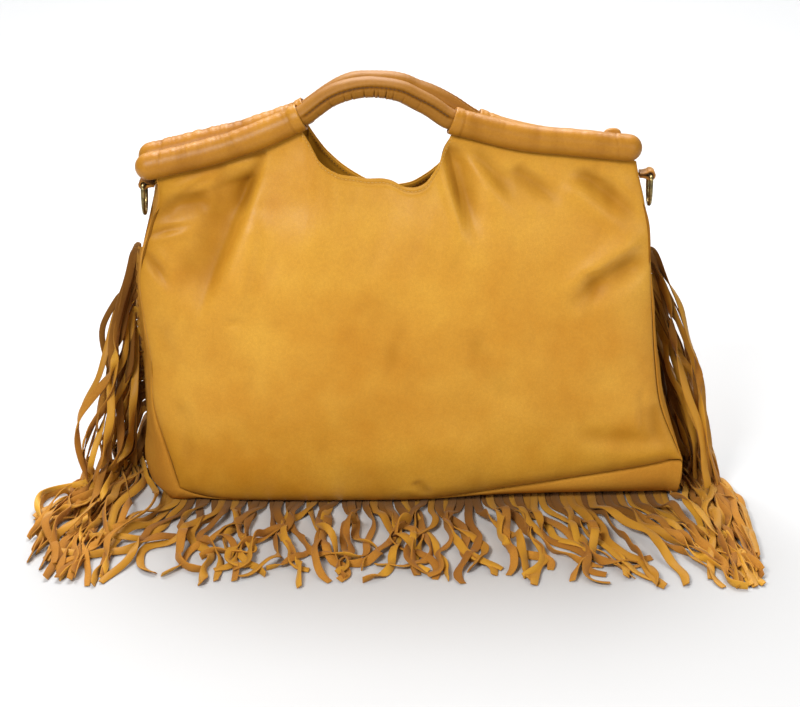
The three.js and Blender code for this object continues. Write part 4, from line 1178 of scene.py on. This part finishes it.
def keep_clear(lines, sides, broads, body, passes):
    """Moves strips off the floor, off the body and off each other where they lie crossed."""
    counts = [len(line) for line in lines]
    owner = np.repeat(np.arange(len(lines)), counts)
    for _ in range(passes):
        points = np.concatenate(lines)
        tree = KDTree(len(points))
        for k, point in enumerate(points):
            tree.insert(point, k)
        tree.balance()
        moved = points.copy()
        for k, point in enumerate(points):
            if point[2] > CROSSING_CEILING:
                continue
            for _, index, _ in tree.find_range(point, CROSSING_SEARCH):
                if index <= k or owner[index] == owner[k]:
                    continue
                apart = points[index] - point
                level = math.hypot(apart[0], apart[1]) / CROSSING_WIDTH
                need = CROSSING_GAP * math.sqrt(max(0, 1 - level**2))
                if abs(apart[2]) < need:
                    push = 0.5 * (need - abs(apart[2])) * (1 if owner[index] > owner[k] else -1)
                    moved[index, 2] += push
                    moved[k, 2] -= push
        start = 0
        for n, count in enumerate(counts):
            line = moved[start : start + count]
            start += count
            line[1:-1] = line[1:-1] * 0.5 + (line[:-2] + line[2:]) * 0.25
            side = sides[n]
            for k, point in enumerate(line):
                found, normal, _, _ = body.find_nearest(point, BODY_SEARCH)
                if found is None or k < ROOT_POINTS:
                    continue
                off = (Vector(point) - found).dot(normal)
                need = BODY_GAP + abs(Vector(side[k]).dot(normal)) * STRIP_WIDTH / 2
                if off < need:
                    line[k] = point + np.array(normal) * (need - off)
            line[:, 2] = np.maximum(line[:, 2], strip_reach(side, broads[n]) + 0.1 * MM)
            lines[n] = line
    return lines


def half_turns(count, chance):
    """A run of twist along a strip that turns it over once at some place, or not at all."""
    if rng.uniform() > chance:
        return np.zeros(count)
    at = (np.arange(count) - rng.uniform(0.3, 0.85) * count) * STEP / (rng.uniform(9, 20) * MM)
    return rng.choice([-1, 1]) * math.pi * (0.5 + 0.5 * np.tanh(at))


# The share of strips that turn over once on their way, and that start the other way up
TURNING = {"bottom": 0.6, "side": 0.7}
TURNED = {"bottom": 0.4, "side": 0.35}
# How high a strip's middle line lies where the strip is flat on the floor
LYING = 1.5 * MM

# The bottom strips: how long they are past the body, and how many of them end in a hook
FREE_LENGTHS = (138, 158)
HOOKED = 0.28
# They lie flat up to the body's edge, and are held back past the two lines
TUCKED_IN = 6 * MM
TUCKED_POINTS = 9
FRONT_LINE = -188 * MM
RIGHT_LINE = 280 * MM


def bottom_seam_ends():
    """Where the front panel's two side seams stand just above the floor."""
    height = 9 * MM
    return side_seam("front_left", height), side_seam("front_right", height)


def bottom_strips(count):
    """Strips that run flat under the body and then wave out over the floor in front."""
    left, right = bottom_seam_ends()
    left, right = left + 8 * MM, right - 6 * MM
    lines, twists, broads = [], [], []
    drift = waves(5, 50 * MM, 140 * MM, 5)
    for k in range(count):
        x = mix(left, right, k / (count - 1)) + rng.normal(0, 0.6) * MM
        hidden = np.linspace(HEADER_Y, TUCKED_IN - SEAM_Y, TUCKED_POINTS)
        comb = float(read(COMB, "heading", x / BODY_HALF))
        free = rng.uniform(*FREE_LENGTHS) * MM / math.cos(comb)
        steps = int(free / STEP)
        share = np.linspace(0, 1, steps)
        loose = float(read(COMB, "loose", x / BODY_HALF))
        fan = comb + 0.22 * float(drift(x, 0.0)) * loose
        heading = fan + loose * (0.25 + 0.35 * share) * wander(steps, STEP, 46 * MM)
        heading = heading + 0.16 * wander(steps, STEP, 22 * MM)
        if rng.uniform() < HOOKED * loose:
            hook = np.clip((share - rng.uniform(0.5, 0.75)) * 4, 0, 1)
            heading = heading + rng.choice([-1, 1]) * rng.uniform(0.7, 1.7) * hook
        hump = np.abs(wander(steps, STEP, 40 * MM))
        hump = hump * np.sin(math.pi * np.clip(share * 1.05, 0, 1)) ** 0.7
        height = 1.4 * MM + rng.uniform(2.5, 8.5) * MM * hump
        slope = np.gradient(height) / STEP
        level = STEP / np.sqrt(1 + slope**2)
        path_x = x + np.cumsum(np.sin(heading) * level)
        path_y = hidden[-1] - np.cumsum(np.cos(heading) * level)
        path_y = np.maximum(path_y, FRONT_LINE + 0.15 * (path_y - FRONT_LINE))
        path_x = np.minimum(path_x, RIGHT_LINE + 0.3 * (path_x - RIGHT_LINE))
        flat = np.stack([np.full(TUCKED_POINTS, x), hidden, np.full(TUCKED_POINTS, 1.3 * MM)], -1)
        line = np.concatenate([flat, np.stack([path_x, path_y, height], -1)])
        grown = ramp(np.arange(len(line)) - (TUCKED_POINTS - 1), TUCKED_POINTS)
        twist = rng.normal(0, 0.25) + rng.uniform(0.4, 1.0) * wander(len(line), STEP, 38 * MM)
        twist = grown * (twist + half_turns(len(line), TURNING["bottom"]))
        lines.append(line)
        twists.append(twist + (math.pi if rng.uniform() < TURNED["bottom"] else 0))
        broads.append(rng.uniform(0.85, 1.15) * narrow_tip(len(line)))
    return lines, twists, broads


def narrow_tip(count):
    """The share of its width that a strip has at each point, a little less at its free end."""
    return mix(0.72, 1.0, ramp(count - np.arange(count), 4))


# The highest and the lowest root of the side strips
TOP_ROOT = 206 * MM
FOOT_ROOT = 26 * MM
SIDE_FRONT_LINE = -190 * MM
# For the left (-1) and the right (1) side: how far out a strip may go, and how far it swings
SIDE_LIMIT = {-1: 1.385 * BODY_HALF, 1: 1.4 * BODY_HALF}
SIDE_SWING = {-1: 8.5 * MM, 1: 5.5 * MM}


def seam_points(side, surface, heights):
    """Points of a panel's side seam at given heights."""
    seam = surface["grid"][0 if side < 0 else -1]
    return np.stack([np.interp(heights, seam[:, 2], seam[:, axis]) for axis in range(3)], -1)


def side_strips(side, surface, count):
    """Strips that fall from the side seam to the floor and run forward along it."""
    fall = LEFT_FALL if side < 0 else RIGHT_FALL
    limit, swing = SIDE_LIMIT[side], SIDE_SWING[side]
    out = OUTWARDS[side]
    lines, twists, broads = [], [], []
    for k in range(count):
        down = float(np.clip((k + rng.uniform(-0.25, 0.25)) / (count - 1), 0, 1))
        root = seam_points(side, surface, mix(TOP_ROOT, FOOT_ROOT, down))
        start = root + out * 1.5 * MM
        edge = root + out * 10 * MM + np.array([0, 0, -5 * MM])
        land_out = read(fall, "land_out", down) + side * rng.normal(0, 0.022)
        end_out = read(fall, "end_out", down) + side * rng.normal(-0.01, 0.035)
        land_y = SEAM_Y - FRINGE_REACH * read(fall, "land_toward", down)
        landing = np.array([BODY_HALF * land_out, land_y, LYING])
        landing[1] += rng.normal(0, 7) * MM
        end_y = SEAM_Y - FRINGE_REACH * read(fall, "end_toward", down)
        end = np.array([BODY_HALF * end_out, end_y, LYING])
        end[1] = max(end[1] + rng.normal(0, 8) * MM, SIDE_FRONT_LINE)
        end[0] = side * min(abs(end[0]), limit)
        middle = mix(edge, landing, rng.uniform(0.4, 0.55))
        middle[2] = mix(edge[2], 0, 0.42)
        knee = mix(landing, edge, 0.10)
        knee[2] = min(edge[2] * 0.5, rng.uniform(8, 26) * MM)
        bend = mix(landing, end, 0.5) + np.array([side * rng.normal(0, 9), 0, 0]) * MM
        bend[2] = rng.uniform(1.5, 9) * MM
        line = smooth_path([start, edge, middle, knee, landing, bend, end], STEP)
        steps = len(line)
        share = np.linspace(0, 1, steps)
        tangents = unit(np.gradient(line, axis=0))
        sway = np.cross(tangents, (0, 0, 1))
        sway = np.where(np.linalg.norm(sway, axis=1, keepdims=True) > 0.15, unit(sway), (1, 0, 0))
        bow = np.cross(sway, tangents)
        grown = ramp(share * steps * STEP, 65 * MM)
        grown = grown * np.clip((1 - share) * 6, 0.3, 1)
        line = line + sway * (swing * grown * wander(steps, STEP, 88 * MM))[:, None]
        line = line + sway * (1.8 * MM * grown * wander(steps, STEP, 34 * MM))[:, None]
        line = line + bow * (0.8 * swing * grown * wander(steps, STEP, 80 * MM))[:, None]
        past = np.maximum(0, side * line[:, 0] - limit)
        line[:, 0] -= side * 0.85 * past
        twist = rng.normal(0, 0.9) + rng.uniform(0.7, 1.4) * wander(steps, STEP, 62 * MM)
        twist = grown * (twist + half_turns(steps, TURNING["side"]))
        lines.append(line)
        twists.append(twist + (math.pi if rng.uniform() < TURNED["side"] else 0))
        broads.append(rng.uniform(0.78, 1.08) * narrow_tip(steps))
    return lines, twists, broads


def side_header(side, surface):
    """The narrow uncut strip along a side seam, as a line and the way its width points."""
    line = seam_points(side, surface, np.arange(16 * MM, 207 * MM, STEP))
    return line + OUTWARDS[side] * 1.6 * MM, OUTWARDS[side]


def bottom_header():
    """The uncut strip along the bottom seam, flat on the floor behind the body."""
    left, right = bottom_seam_ends()
    x = np.arange(left + 4 * MM, right - 2 * MM, STEP)
    line = np.stack([x, np.full(len(x), HEADER_Y), np.full(len(x), 1.35 * MM)], -1)
    return line, np.array([0.0, 1.0, 0.0])


def make_strips(name, strips, header, body, tree, material, starts, passes):
    """One fringe: its strips laid clear of each other, and the header they are cut from."""
    lines, twists, broads = strips
    sides = [facings(line, twist, start) for line, twist, start in zip(lines, twists, starts)]
    lines = keep_clear(lines, sides, broads, body, passes)
    sides = [facings(line, twist, start) for line, twist, start in zip(lines, twists, starts)]
    for line, side, broad in zip(lines, sides, broads):
        line[:, 2] = np.maximum(line[:, 2], strip_reach(side, broad) + 0.3 * MM)
    head, outwards = header
    plain = np.zeros(len(head))
    values = {
        "facing": sides + [np.tile(outwards, (len(head), 1))],
        "broad": broads + [plain + HEADER_WIDTH],
        "tone": [np.full(len(line), rng.uniform(0, 1)) for line in lines] + [plain],
        "along": [np.linspace(0, 1, len(line)) for line in lines] + [plain],
    }
    piece = lines_object(name, lines + [head], values)
    return grow(piece, tree, material, {"Width": STRIP_WIDTH, "Thickness": STRIP_THICKNESS})


def surface_tree(pieces):
    """A search tree over the outer faces of several pieces."""
    points, faces = [], []
    for piece in pieces:
        start = len(points)
        points += [vertex.co.copy() for vertex in piece.data.vertices]
        faces += [tuple(start + v for v in polygon.vertices) for polygon in piece.data.polygons]
    return BVHTree.FromPolygons(points, faces)


# Rings, tabs and the tongue

RING_SIDES = 20
RING_CORNER = 2.5 * MM
TAB_THICKNESS = 1.9 * MM
TONGUE_RISE = 2.5 * MM
# The tongue's layers from front to back: place in its depth, and how far the edge is eased
TONGUE_LAYERS = ((-1, 0.8), (-0.72, 0.25), (-0.3, 0), (0.3, 0), (0.72, 0.25), (1, 0.8))


def ring_place(side):
    """The middle of a ring's straight bar, its wire's radius and half its width, from its box."""
    low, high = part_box("ring_left" if side < 0 else "ring_right")
    radius = (high[0] - low[0]) / 2
    middle = np.array([(low[0] + high[0]) / 2, 0, high[2] - radius])
    return middle, radius, (high[1] - low[1]) / 2 - radius


def make_ring(name, side, material):
    """A D-ring of round wire with eased corners."""
    place, radius, half = ring_place(side)
    low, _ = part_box(name)
    drop = place[2] - low[2] - radius
    shoulder = drop * 0.3
    corner = RING_CORNER
    path = [(-half + corner, 0), (-half * 0.4, 0), (half * 0.4, 0), (half - corner, 0)]
    path += [(half - corner * 0.3, -corner * 0.3), (half, -corner)]
    for angle in np.linspace(0, math.pi, 15):
        path.append((half * math.cos(angle), -shoulder - (drop - shoulder) * math.sin(angle)))
    path += [(-half, -corner), (-half + corner * 0.3, -corner * 0.3)]
    closed = np.array(path + path[:1])
    line = smooth_path(np.column_stack([np.zeros(len(closed)), closed]), 0.8 * MM)[:-1] + place
    tangents = unit(np.roll(line, -1, 0) - np.roll(line, 1, 0))
    sideways = np.tile([1.0, 0.0, 0.0], (len(line), 1))
    outward = np.cross(sideways, tangents)
    angles = np.linspace(0, 2 * math.pi, RING_SIDES, endpoint=False)
    rings = line[:, None] + radius * ring_directions(sideways, outward, angles)
    rows, columns = rings.shape[:2]
    quads = grid_quads(rows + 1, columns, wrap=True) % (rows * columns)
    piece = solid(name + "_metal", rings.reshape(-1, 3), quads, outward=True)
    piece.data.materials.append(material)
    return piece


def make_tab(name, side, tree, material):
    """A folded strip of leather that holds a ring's bar, closed up beside it."""
    low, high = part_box(name)
    place, _, _ = ring_place(side)
    turn = (high[2] - low[2]) / 2 - TAB_THICKNESS / 2
    root = (low[0] if side > 0 else high[0]) - place[0]
    neck = TAB_THICKNESS / 2 + 0.15 * MM
    path = [(root, neck), (root * 0.72, neck * 1.05)]
    for angle in np.radians([140, 110, 80, 40, 0, -40, -80, -110, -140]):
        path.append((side * turn * math.cos(angle), turn * math.sin(angle)))
    path += [(root * 0.72, -neck * 1.05), (root, -neck)]
    line = smooth_path([(px, 0, pz) for px, pz in path], 0.7 * MM) + place
    facing = np.tile([0.0, 1.0, 0.0], (len(line), 1))
    values = {
        "facing": [facing],
        "broad": [np.ones(len(line))],
        "tone": [np.full(len(line), 0.5)],
        "along": [np.linspace(0, 1, len(line))],
    }
    piece = lines_object(name + "_leather", [line], values)
    return grow(piece, tree, material, {"Width": high[1] - low[1], "Thickness": TAB_THICKNESS})


def make_tongue(material):
    """A narrow folded tongue with a rounded top that stands between the right sleeves."""
    low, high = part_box("end_tab")
    foot, top = low[2], high[2] + TONGUE_RISE
    middle_x, middle_y = (low[0] + high[0]) / 2, (low[1] + high[1]) / 2
    half = (high[0] - low[0]) / 2
    thick = (high[1] - low[1]) / 2
    arch = half * 0.62
    outline = [(-half, foot), (half, foot)]
    for angle in np.linspace(0, math.pi, 15):
        outline.append((half * math.cos(angle), top - arch + arch * math.sin(angle)))
    outline = np.array(outline)
    centre = np.array([0, (foot + top) / 2])
    layers = []
    for y, inset in TONGUE_LAYERS:
        shrunk = outline + unit(centre - outline) * inset * MM
        lean = 0.6 * MM * y * (outline[:, 1] - foot) / (top - foot)
        depth = np.full(len(outline), middle_y + y * thick)
        layers.append(np.column_stack([shrunk[:, 0] + middle_x + lean, depth, shrunk[:, 1]]))
    rings = np.array(layers)
    plain = np.zeros(rings.shape[:2])
    return tube_solid("end_tongue", rings, material, {"fold_shading": plain, "seam": plain})


# Stitches

HEM_SPACING = 3.0 * MM
GRIP_THREAD = 0.5 * MM
GRIP_CROSSINGS = 96


def hem_stitches(surface, name, inside, depth, length, thick, tree, thread):
    """A row of stitches that follows the hem of a cut-out."""
    grid = surface["inner"] if inside else surface["outer"]
    normals = surface["normals"] * (-1 if inside else 1)
    line = []
    columns = np.flatnonzero(surface["in_hem"])
    for i in columns[2:-2]:
        to_hem = surface["to_hem"][i]
        at = np.interp(depth, to_hem[::-1], np.arange(len(to_hem))[::-1])
        k = int(at)
        point = mix(grid[i, k], grid[i, k + 1], at - k)
        line.append(point + normals[i, k] * 0.05 * MM)
    piece = lines_object(name, [np.array(line)])
    return grow(piece, tree, thread, {"Spacing": HEM_SPACING, "Stitch": length, "Thread": thick})


def handle_stitches(rod, seam_from, seam_to, tree, thread, name):
    """A zig-zag of thread that closes the grip's seam."""
    left, right = rod["mouths"]
    x = np.linspace(left + 4 * MM, right - 4 * MM, GRIP_CROSSINGS)
    share = (x - left) / (right - left)
    angle = mix(seam_from, seam_to, share) + np.where(np.arange(len(x)) % 2, 0.09, -0.09)
    across, up = rod_sides(rod_tangent(rod, x))
    radius = GRIP_RADIUS - 0.55 * MM
    out = np.cos(angle)[:, None] * across + np.sin(angle)[:, None] * up
    points = rod_point(rod, x) + radius * out
    lines = [points[k : k + 2] for k in range(len(points) - 1)]
    facing = [
        np.tile(unit(np.cross(line[1] - line[0], up[k])), (2, 1)) for k, line in enumerate(lines)
    ]
    values = {
        "facing": facing,
        "broad": [np.ones(2)] * len(lines),
        "tone": [np.full(2, 0.5)] * len(lines),
        "along": [np.array([0.0, 1.0])] * len(lines),
    }
    piece = lines_object(name, lines, values)
    return grow(piece, tree, thread, {"Width": GRIP_THREAD, "Thickness": GRIP_THREAD})


# Materials


class Finish:
    """A node material in the making: add nodes, then join them to the shader's sockets."""

    def __init__(self, name, **constants):
        self.material = bpy.data.materials.new(name)
        self.material.use_nodes = True
        self.tree = self.material.node_tree
        self.shader = self.tree.nodes["Principled BSDF"]
        for key, value in constants.items():
            self.shader.inputs[key.replace("_", " ")].default_value = value
        self.place = self.tree.nodes.new("ShaderNodeTexCoord").outputs["Object"]

    def node(self, kind, links=None, **settings):
        return add_node(self.tree, kind, links, **settings)

    def noise(self, scale, detail=3.0, rough=0.55, stretch=None):
        place = self.place
        if stretch:
            place = self.node("ShaderNodeMapping", {"Vector": place, "Scale": stretch}).outputs[0]
        links = {"Vector": place, "Scale": scale, "Detail": detail, "Roughness": rough}
        return self.node("ShaderNodeTexNoise", links).outputs["Fac"]

    def value(self, name):
        return self.node("ShaderNodeAttribute", attribute_name=name).outputs["Fac"]

    def math(self, operation, a, b=0.0, clamp=False):
        node = self.node("ShaderNodeMath", {0: a, 1: b}, operation=operation, use_clamp=clamp)
        return node.outputs[0]

    def weigh(self, a, a_share, b, b_share):
        """Two values added up, each with its own share."""
        shared = self.math("MULTIPLY", a, a_share)
        return self.math("ADD", shared, self.math("MULTIPLY", b, b_share))

    def range(self, value, low, high, to_low=0.0, to_high=1.0):
        links = {"Value": value, "From Min": low, "From Max": high}
        links.update({"To Min": to_low, "To Max": to_high})
        return self.node("ShaderNodeMapRange", links).outputs["Result"]

    def blend(self, share, a, b, kind="MIX"):
        node = self.tree.nodes.new("ShaderNodeMix")
        node.data_type = "RGBA"
        node.blend_type = kind
        for index, value in ((0, share), (6, a), (7, b)):
            if isinstance(value, bpy.types.NodeSocket):
                self.tree.links.new(value, node.inputs[index])
            else:
                node.inputs[index].default_value = value if index == 0 else (*value, 1.0)
        return node.outputs[2]

    def bump(self, height, distance, strength, under=None):
        links = {"Height": height, "Distance": distance, "Strength": strength}
        if under is not None:
            links["Normal"] = under
        return self.node("ShaderNodeBump", links).outputs["Normal"]

    def join(self, **sockets):
        for key, value in sockets.items():
            self.tree.links.new(value, self.shader.inputs[key.replace("_", " ")])
        return self.material


def grain(finish, cell, depth):
    """Leather grain: pebbles between fine creases, with pores and faint pulls over them."""
    scale = 1 / cell
    warp = finish.noise(scale * 0.35, 2.0)
    shift = finish.math("MULTIPLY", warp, cell * 1.6)
    shifts = finish.node("ShaderNodeCombineXYZ", {"X": shift, "Y": shift, "Z": shift}).outputs[0]
    bent = finish.node("ShaderNodeVectorMath", {0: finish.place, 1: shifts}, operation="ADD")
    cells = finish.node(
        "ShaderNodeTexVoronoi",
        {"Vector": bent.outputs[0], "Scale": scale, "Randomness": 1.0},
        feature="DISTANCE_TO_EDGE",
    ).outputs["Distance"]
    pebble = finish.range(cells, 0.0, 0.22)
    pores = finish.noise(scale * 2.6, 2.0)
    pulls = finish.noise(110, 5.0, 0.6, (1.0, 1.0, 0.45))
    coarse = finish.bump(pulls, depth * 5, 0.45)
    return finish.bump(finish.weigh(pebble, 0.6, pores, 0.4), depth, 0.65, coarse), pebble


def body_leather_finish(name, bright, middle, dark, roughness, gloss=0.27):
    """Waxed mustard leather in uneven patches, darker at seams and stitches; painted shade darkens
    it in folds and wherever the seam value carries shade, and painted highlight lightens it on
    raised ridges.
    """
    finish = Finish(name, Sheen_Weight=0.07 * gloss, Sheen_Roughness=0.45)
    finish.shader.inputs["Sheen Tint"].default_value = (1.0, 0.85, 0.6, 1.0)
    patches = finish.noise(9.0, 3.0, 0.6)
    clouds = finish.noise(28.0, 4.0, 0.6)
    flecks = finish.noise(420.0, 2.0, 0.5)
    normal, pebble = grain(finish, 1.15 * MM, 0.09 * MM)
    share = finish.weigh(patches, 0.65, clouds, 0.35)
    base = finish.blend(finish.range(share, 0.36, 0.62), middle, bright)
    # Painted shade in fold valleys and painted highlight on raised ridges
    fold_shading = finish.value("fold_shading")
    base = finish.blend(finish.range(fold_shading, 0.05, 0.9, 0.0, 0.74), base, dark)
    brightest = tuple(min(1, c * 1.12) for c in bright)
    base = finish.blend(finish.range(fold_shading, -0.1, -0.9, 0.0, 0.35), base, brightest)
    # Dark seams and stitches, together with the painted shade that the seam value also carries
    seam = finish.value("seam")
    base = finish.blend(finish.math("MULTIPLY", seam, 0.62), base, dark)
    base = finish.blend(finish.range(flecks, 0.35, 0.65, 0.0, 0.10), base, dark)
    base = finish.blend(finish.range(pebble, 1.0, 0.0, 0.0, 0.14), base, dark)
    lining = tuple(c * 0.55 for c in dark)
    base = finish.blend(finish.math("MULTIPLY", finish.value("inside"), 0.55), base, lining)
    rough = finish.range(share, 0.35, 0.65, roughness + 0.06, roughness - 0.05)
    shine = finish.range(finish.math("MAXIMUM", seam, fold_shading), 0.1, 0.8, gloss, 0.2 * gloss)
    return finish.join(Base_Color=base, Roughness=rough, Specular_IOR_Level=shine, Normal=normal)


def suede_finish(name, smooth_light, smooth_dark, flesh_light, flesh_dark):
    """Strips with a smooth grained side, a napped flesh side and pale cut edges."""
    finish = Finish(name, Specular_IOR_Level=0.2, Sheen_Weight=0.12, Sheen_Roughness=0.5)
    finish.shader.inputs["Sheen Tint"].default_value = (1.0, 0.8, 0.55, 1.0)
    tone = finish.value("tone")
    clouds = finish.noise(55.0, 4.0, 0.6)
    nap = finish.noise(900.0, 3.0, 0.7)
    share = finish.range(finish.weigh(tone, 0.7, clouds, 0.5), 0.15, 1.0)
    smooth = finish.blend(share, smooth_dark, smooth_light)
    flesh = finish.blend(share, flesh_dark, flesh_light)
    flesh = finish.blend(finish.range(nap, 0.35, 0.65, 0.0, 0.4), flesh, flesh_dark)
    side = finish.value("grain_side")
    base = finish.blend(finish.range(side, 0.45, 0.85), flesh, smooth)
    off_middle = finish.math("ABSOLUTE", finish.math("SUBTRACT", side, 0.5))
    edge = finish.math("SUBTRACT", 1.0, finish.math("MULTIPLY", off_middle, 2.6), True)
    base = finish.blend(finish.math("MULTIPLY", edge, 0.35), base, flesh_light)
    # Painted shade towards the header, where the strips lie under and beside the body, strongest on
    # the suede side
    near_root = finish.range(finish.value("along"), 0.2, 0.62, 0.85, 0.0)
    root_shade = finish.math("MULTIPLY", near_root, finish.range(side, 0.45, 0.85, 1.0, 0.4))
    base = finish.blend(root_shade, base, tuple(c * 0.4 for c in flesh_dark))
    rough = finish.range(side, 0.45, 0.85, 0.92, 0.5)
    pebbles = finish.noise(1100.0, 3.0, 0.6)
    normal = finish.bump(nap, 0.25 * MM, 0.7)
    normal = finish.bump(pebbles, 0.08 * MM, 0.35, normal)
    return finish.join(Base_Color=base, Roughness=rough, Normal=normal)


def brass_finish():
    """Antique brass: dark in the low spots and rubbed bright on the high ones."""
    finish = Finish("antique_brass", Metallic=1.0)
    tarnish = finish.noise(160.0, 5.0, 0.65)
    spots = finish.noise(620.0, 3.0, 0.6)
    tone_shift = finish.range(tarnish, 0.38, 0.66)
    base = finish.blend(tone_shift, (0.075, 0.06, 0.03), (0.36, 0.27, 0.11))
    rough = finish.range(spots, 0.3, 0.7, 0.24, 0.5)
    normal = finish.bump(spots, 0.05 * MM, 0.5)
    return finish.join(Base_Color=base, Roughness=rough, Normal=normal)


def thread_finish(name, light, dark):
    """Waxed thread with a fine twist."""
    finish = Finish(name, Specular_IOR_Level=0.3)
    strands = finish.noise(2600.0, 2.0, 0.5)
    base = finish.blend(strands, dark, light)
    rough = finish.range(strands, 0.3, 0.7, 0.55, 0.75)
    normal = finish.bump(strands, 0.08 * MM, 0.6)
    return finish.join(Base_Color=base, Roughness=rough, Normal=normal)


def floor_material():
    finish = Finish("pale_floor", Specular_IOR_Level=0.2)
    faint = finish.noise(3.0, 2.0)
    base = finish.blend(faint, (0.51, 0.514, 0.52), (0.53, 0.534, 0.54))
    rough = finish.range(faint, 0.0, 1.0, 0.85, 0.95)
    return finish.join(Base_Color=base, Roughness=rough)


# The bag


def set_piece(piece, body, slot, *nodes):
    """Says which body a piece rides on and which nodes it replaces; the slot argument is not used.
    """
    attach(piece, body)
    if nodes:
        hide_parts(*nodes)


add_camera()
add_studio()

body_finish = body_leather_finish(
    "mustard_leather", (0.63, 0.325, 0.034), (0.52, 0.224, 0.013), (0.22, 0.08, 0.004), 0.42
)
gusset_finish = body_leather_finish(
    "gusset_leather", (0.58, 0.28, 0.036), (0.48, 0.2, 0.024), (0.22, 0.08, 0.008), 0.75, 0.03
)
# A darker copy of the mustard leather: painted shade that offsets the strong light on the casings'
# tops
sleeve_finish = body_leather_finish(
    "sleeve_leather", (0.45, 0.198, 0.014), (0.35, 0.135, 0.008), (0.15, 0.047, 0.003), 0.4
)
strip_finish = suede_finish(
    "strip_suede",
    (0.58, 0.29, 0.024),
    (0.4, 0.175, 0.014),
    (0.52, 0.225, 0.026),
    (0.27, 0.1, 0.011),
)
tab_finish = suede_finish(
    "tab_leather", (0.5, 0.23, 0.03), (0.4, 0.16, 0.02), (0.4, 0.17, 0.03), (0.22, 0.08, 0.012)
)
grip_finish = body_leather_finish(
    "grip_leather", (0.335, 0.142, 0.009), (0.262, 0.099, 0.006), (0.12, 0.037, 0.002), 0.52
)
brass = brass_finish()
dark_thread = thread_finish("dark_thread", (0.16, 0.075, 0.018), (0.05, 0.022, 0.008))
light_thread = thread_finish("light_thread", (0.62, 0.38, 0.11), (0.4, 0.22, 0.05))

back = panel_surface("back", BACK_FOLDS, 11)
front = panel_surface("front", FRONT_FOLDS, 31)
body_back = make_panel(back, body_finish)
body_front = make_panel(front, body_finish)
body_gusset = make_gusset(back, front, gusset_finish)
set_piece(body_back, "bag", "body_leather", "back_panel")
set_piece(body_front, "bag", "body_leather", "front_panel")
set_piece(body_gusset, "bag", "body_leather", "gusset")

ribbon = ribbon_tree()
stitch = stitch_tree()
GATHERS = {"back_left": 0.28, "back_right": 0.15, "front_left": 0.62, "front_right": 0.2}
PLEATS = {"back": 1.3, "front": 0.1}
SEAM_TURNS = {"back": (NEAR - 0.05, NEAR - 0.4), "front": (TOP - 0.9, TOP + 0.2)}
for number, (name, rod) in enumerate(FRAMES.items()):
    for hand, end, mouth in zip(("left", "right"), ROD_ENDS, rod["mouths"]):
        seed = 90 + 10 * number + (hand == "right") * 5
        gathers = GATHERS[f"{name}_{hand}"]
        sleeve = make_sleeve(f"casing_{name}_{hand}", rod, end, mouth, gathers, seed, sleeve_finish)
        set_piece(sleeve, "bag", "handle_leather", f"{name}_sleeve_{hand}")
    turns = SEAM_TURNS[name]
    handle = make_handle("grip_" + name, rod, *turns, PLEATS[name], 130 + number, grip_finish)
    set_piece(handle, "bag", "handle_leather", name + "_handle")
    threads = handle_stitches(rod, *turns, ribbon, dark_thread, "grip_stitches_" + name)
    set_piece(threads, "bag", None)

# The stitches of a cut-out: on the inside or not, depth below the hem, length, thickness, thread
HEM_ROWS = {
    "hem_stitches_": (False, HEM_STITCH, 2.3 * MM, 0.55 * MM, stitch, light_thread),
    "inner_stitches_": (True, 4.2 * MM, 1.5 * MM, 0.8 * MM, stitch, dark_thread),
}
for surface in (back, front):
    for prefix, settings in HEM_ROWS.items():
        row = hem_stitches(surface, prefix + surface["name"], *settings)
        set_piece(row, "bag", None)

for hand, side in (("left", -1), ("right", 1)):
    ring = make_ring("ring_" + hand, side, brass)
    set_piece(ring, f"{hand}_ring", "ring_metal", "ring_" + hand)
    tab = make_tab("ring_tab_" + hand, side, ribbon, tab_finish)
    set_piece(tab, "bag", "handle_leather", "ring_tab_" + hand)
set_piece(make_tongue(sleeve_finish), "bag", "handle_leather", "end_tab")

body_tree = surface_tree([body_back, body_front, body_gusset])
passes = 5
for name, strips, header in (
    ("bottom", bottom_strips(STRIP_COUNTS["bottom"]), bottom_header()),
    ("left", side_strips(-1, front, STRIP_COUNTS["left"]), side_header(-1, front)),
    ("right", side_strips(1, front, STRIP_COUNTS["right"]), side_header(1, front)),
):
    starts = [None if name == "bottom" else (0.0, 0.0, 1.0)] * len(strips[0])
    fringe = make_strips(
        "fringe_" + name, strips, header, body_tree, ribbon, strip_finish, starts, passes
    )
    set_piece(fringe, "bag", "fringe_suede", name + "_fringe")
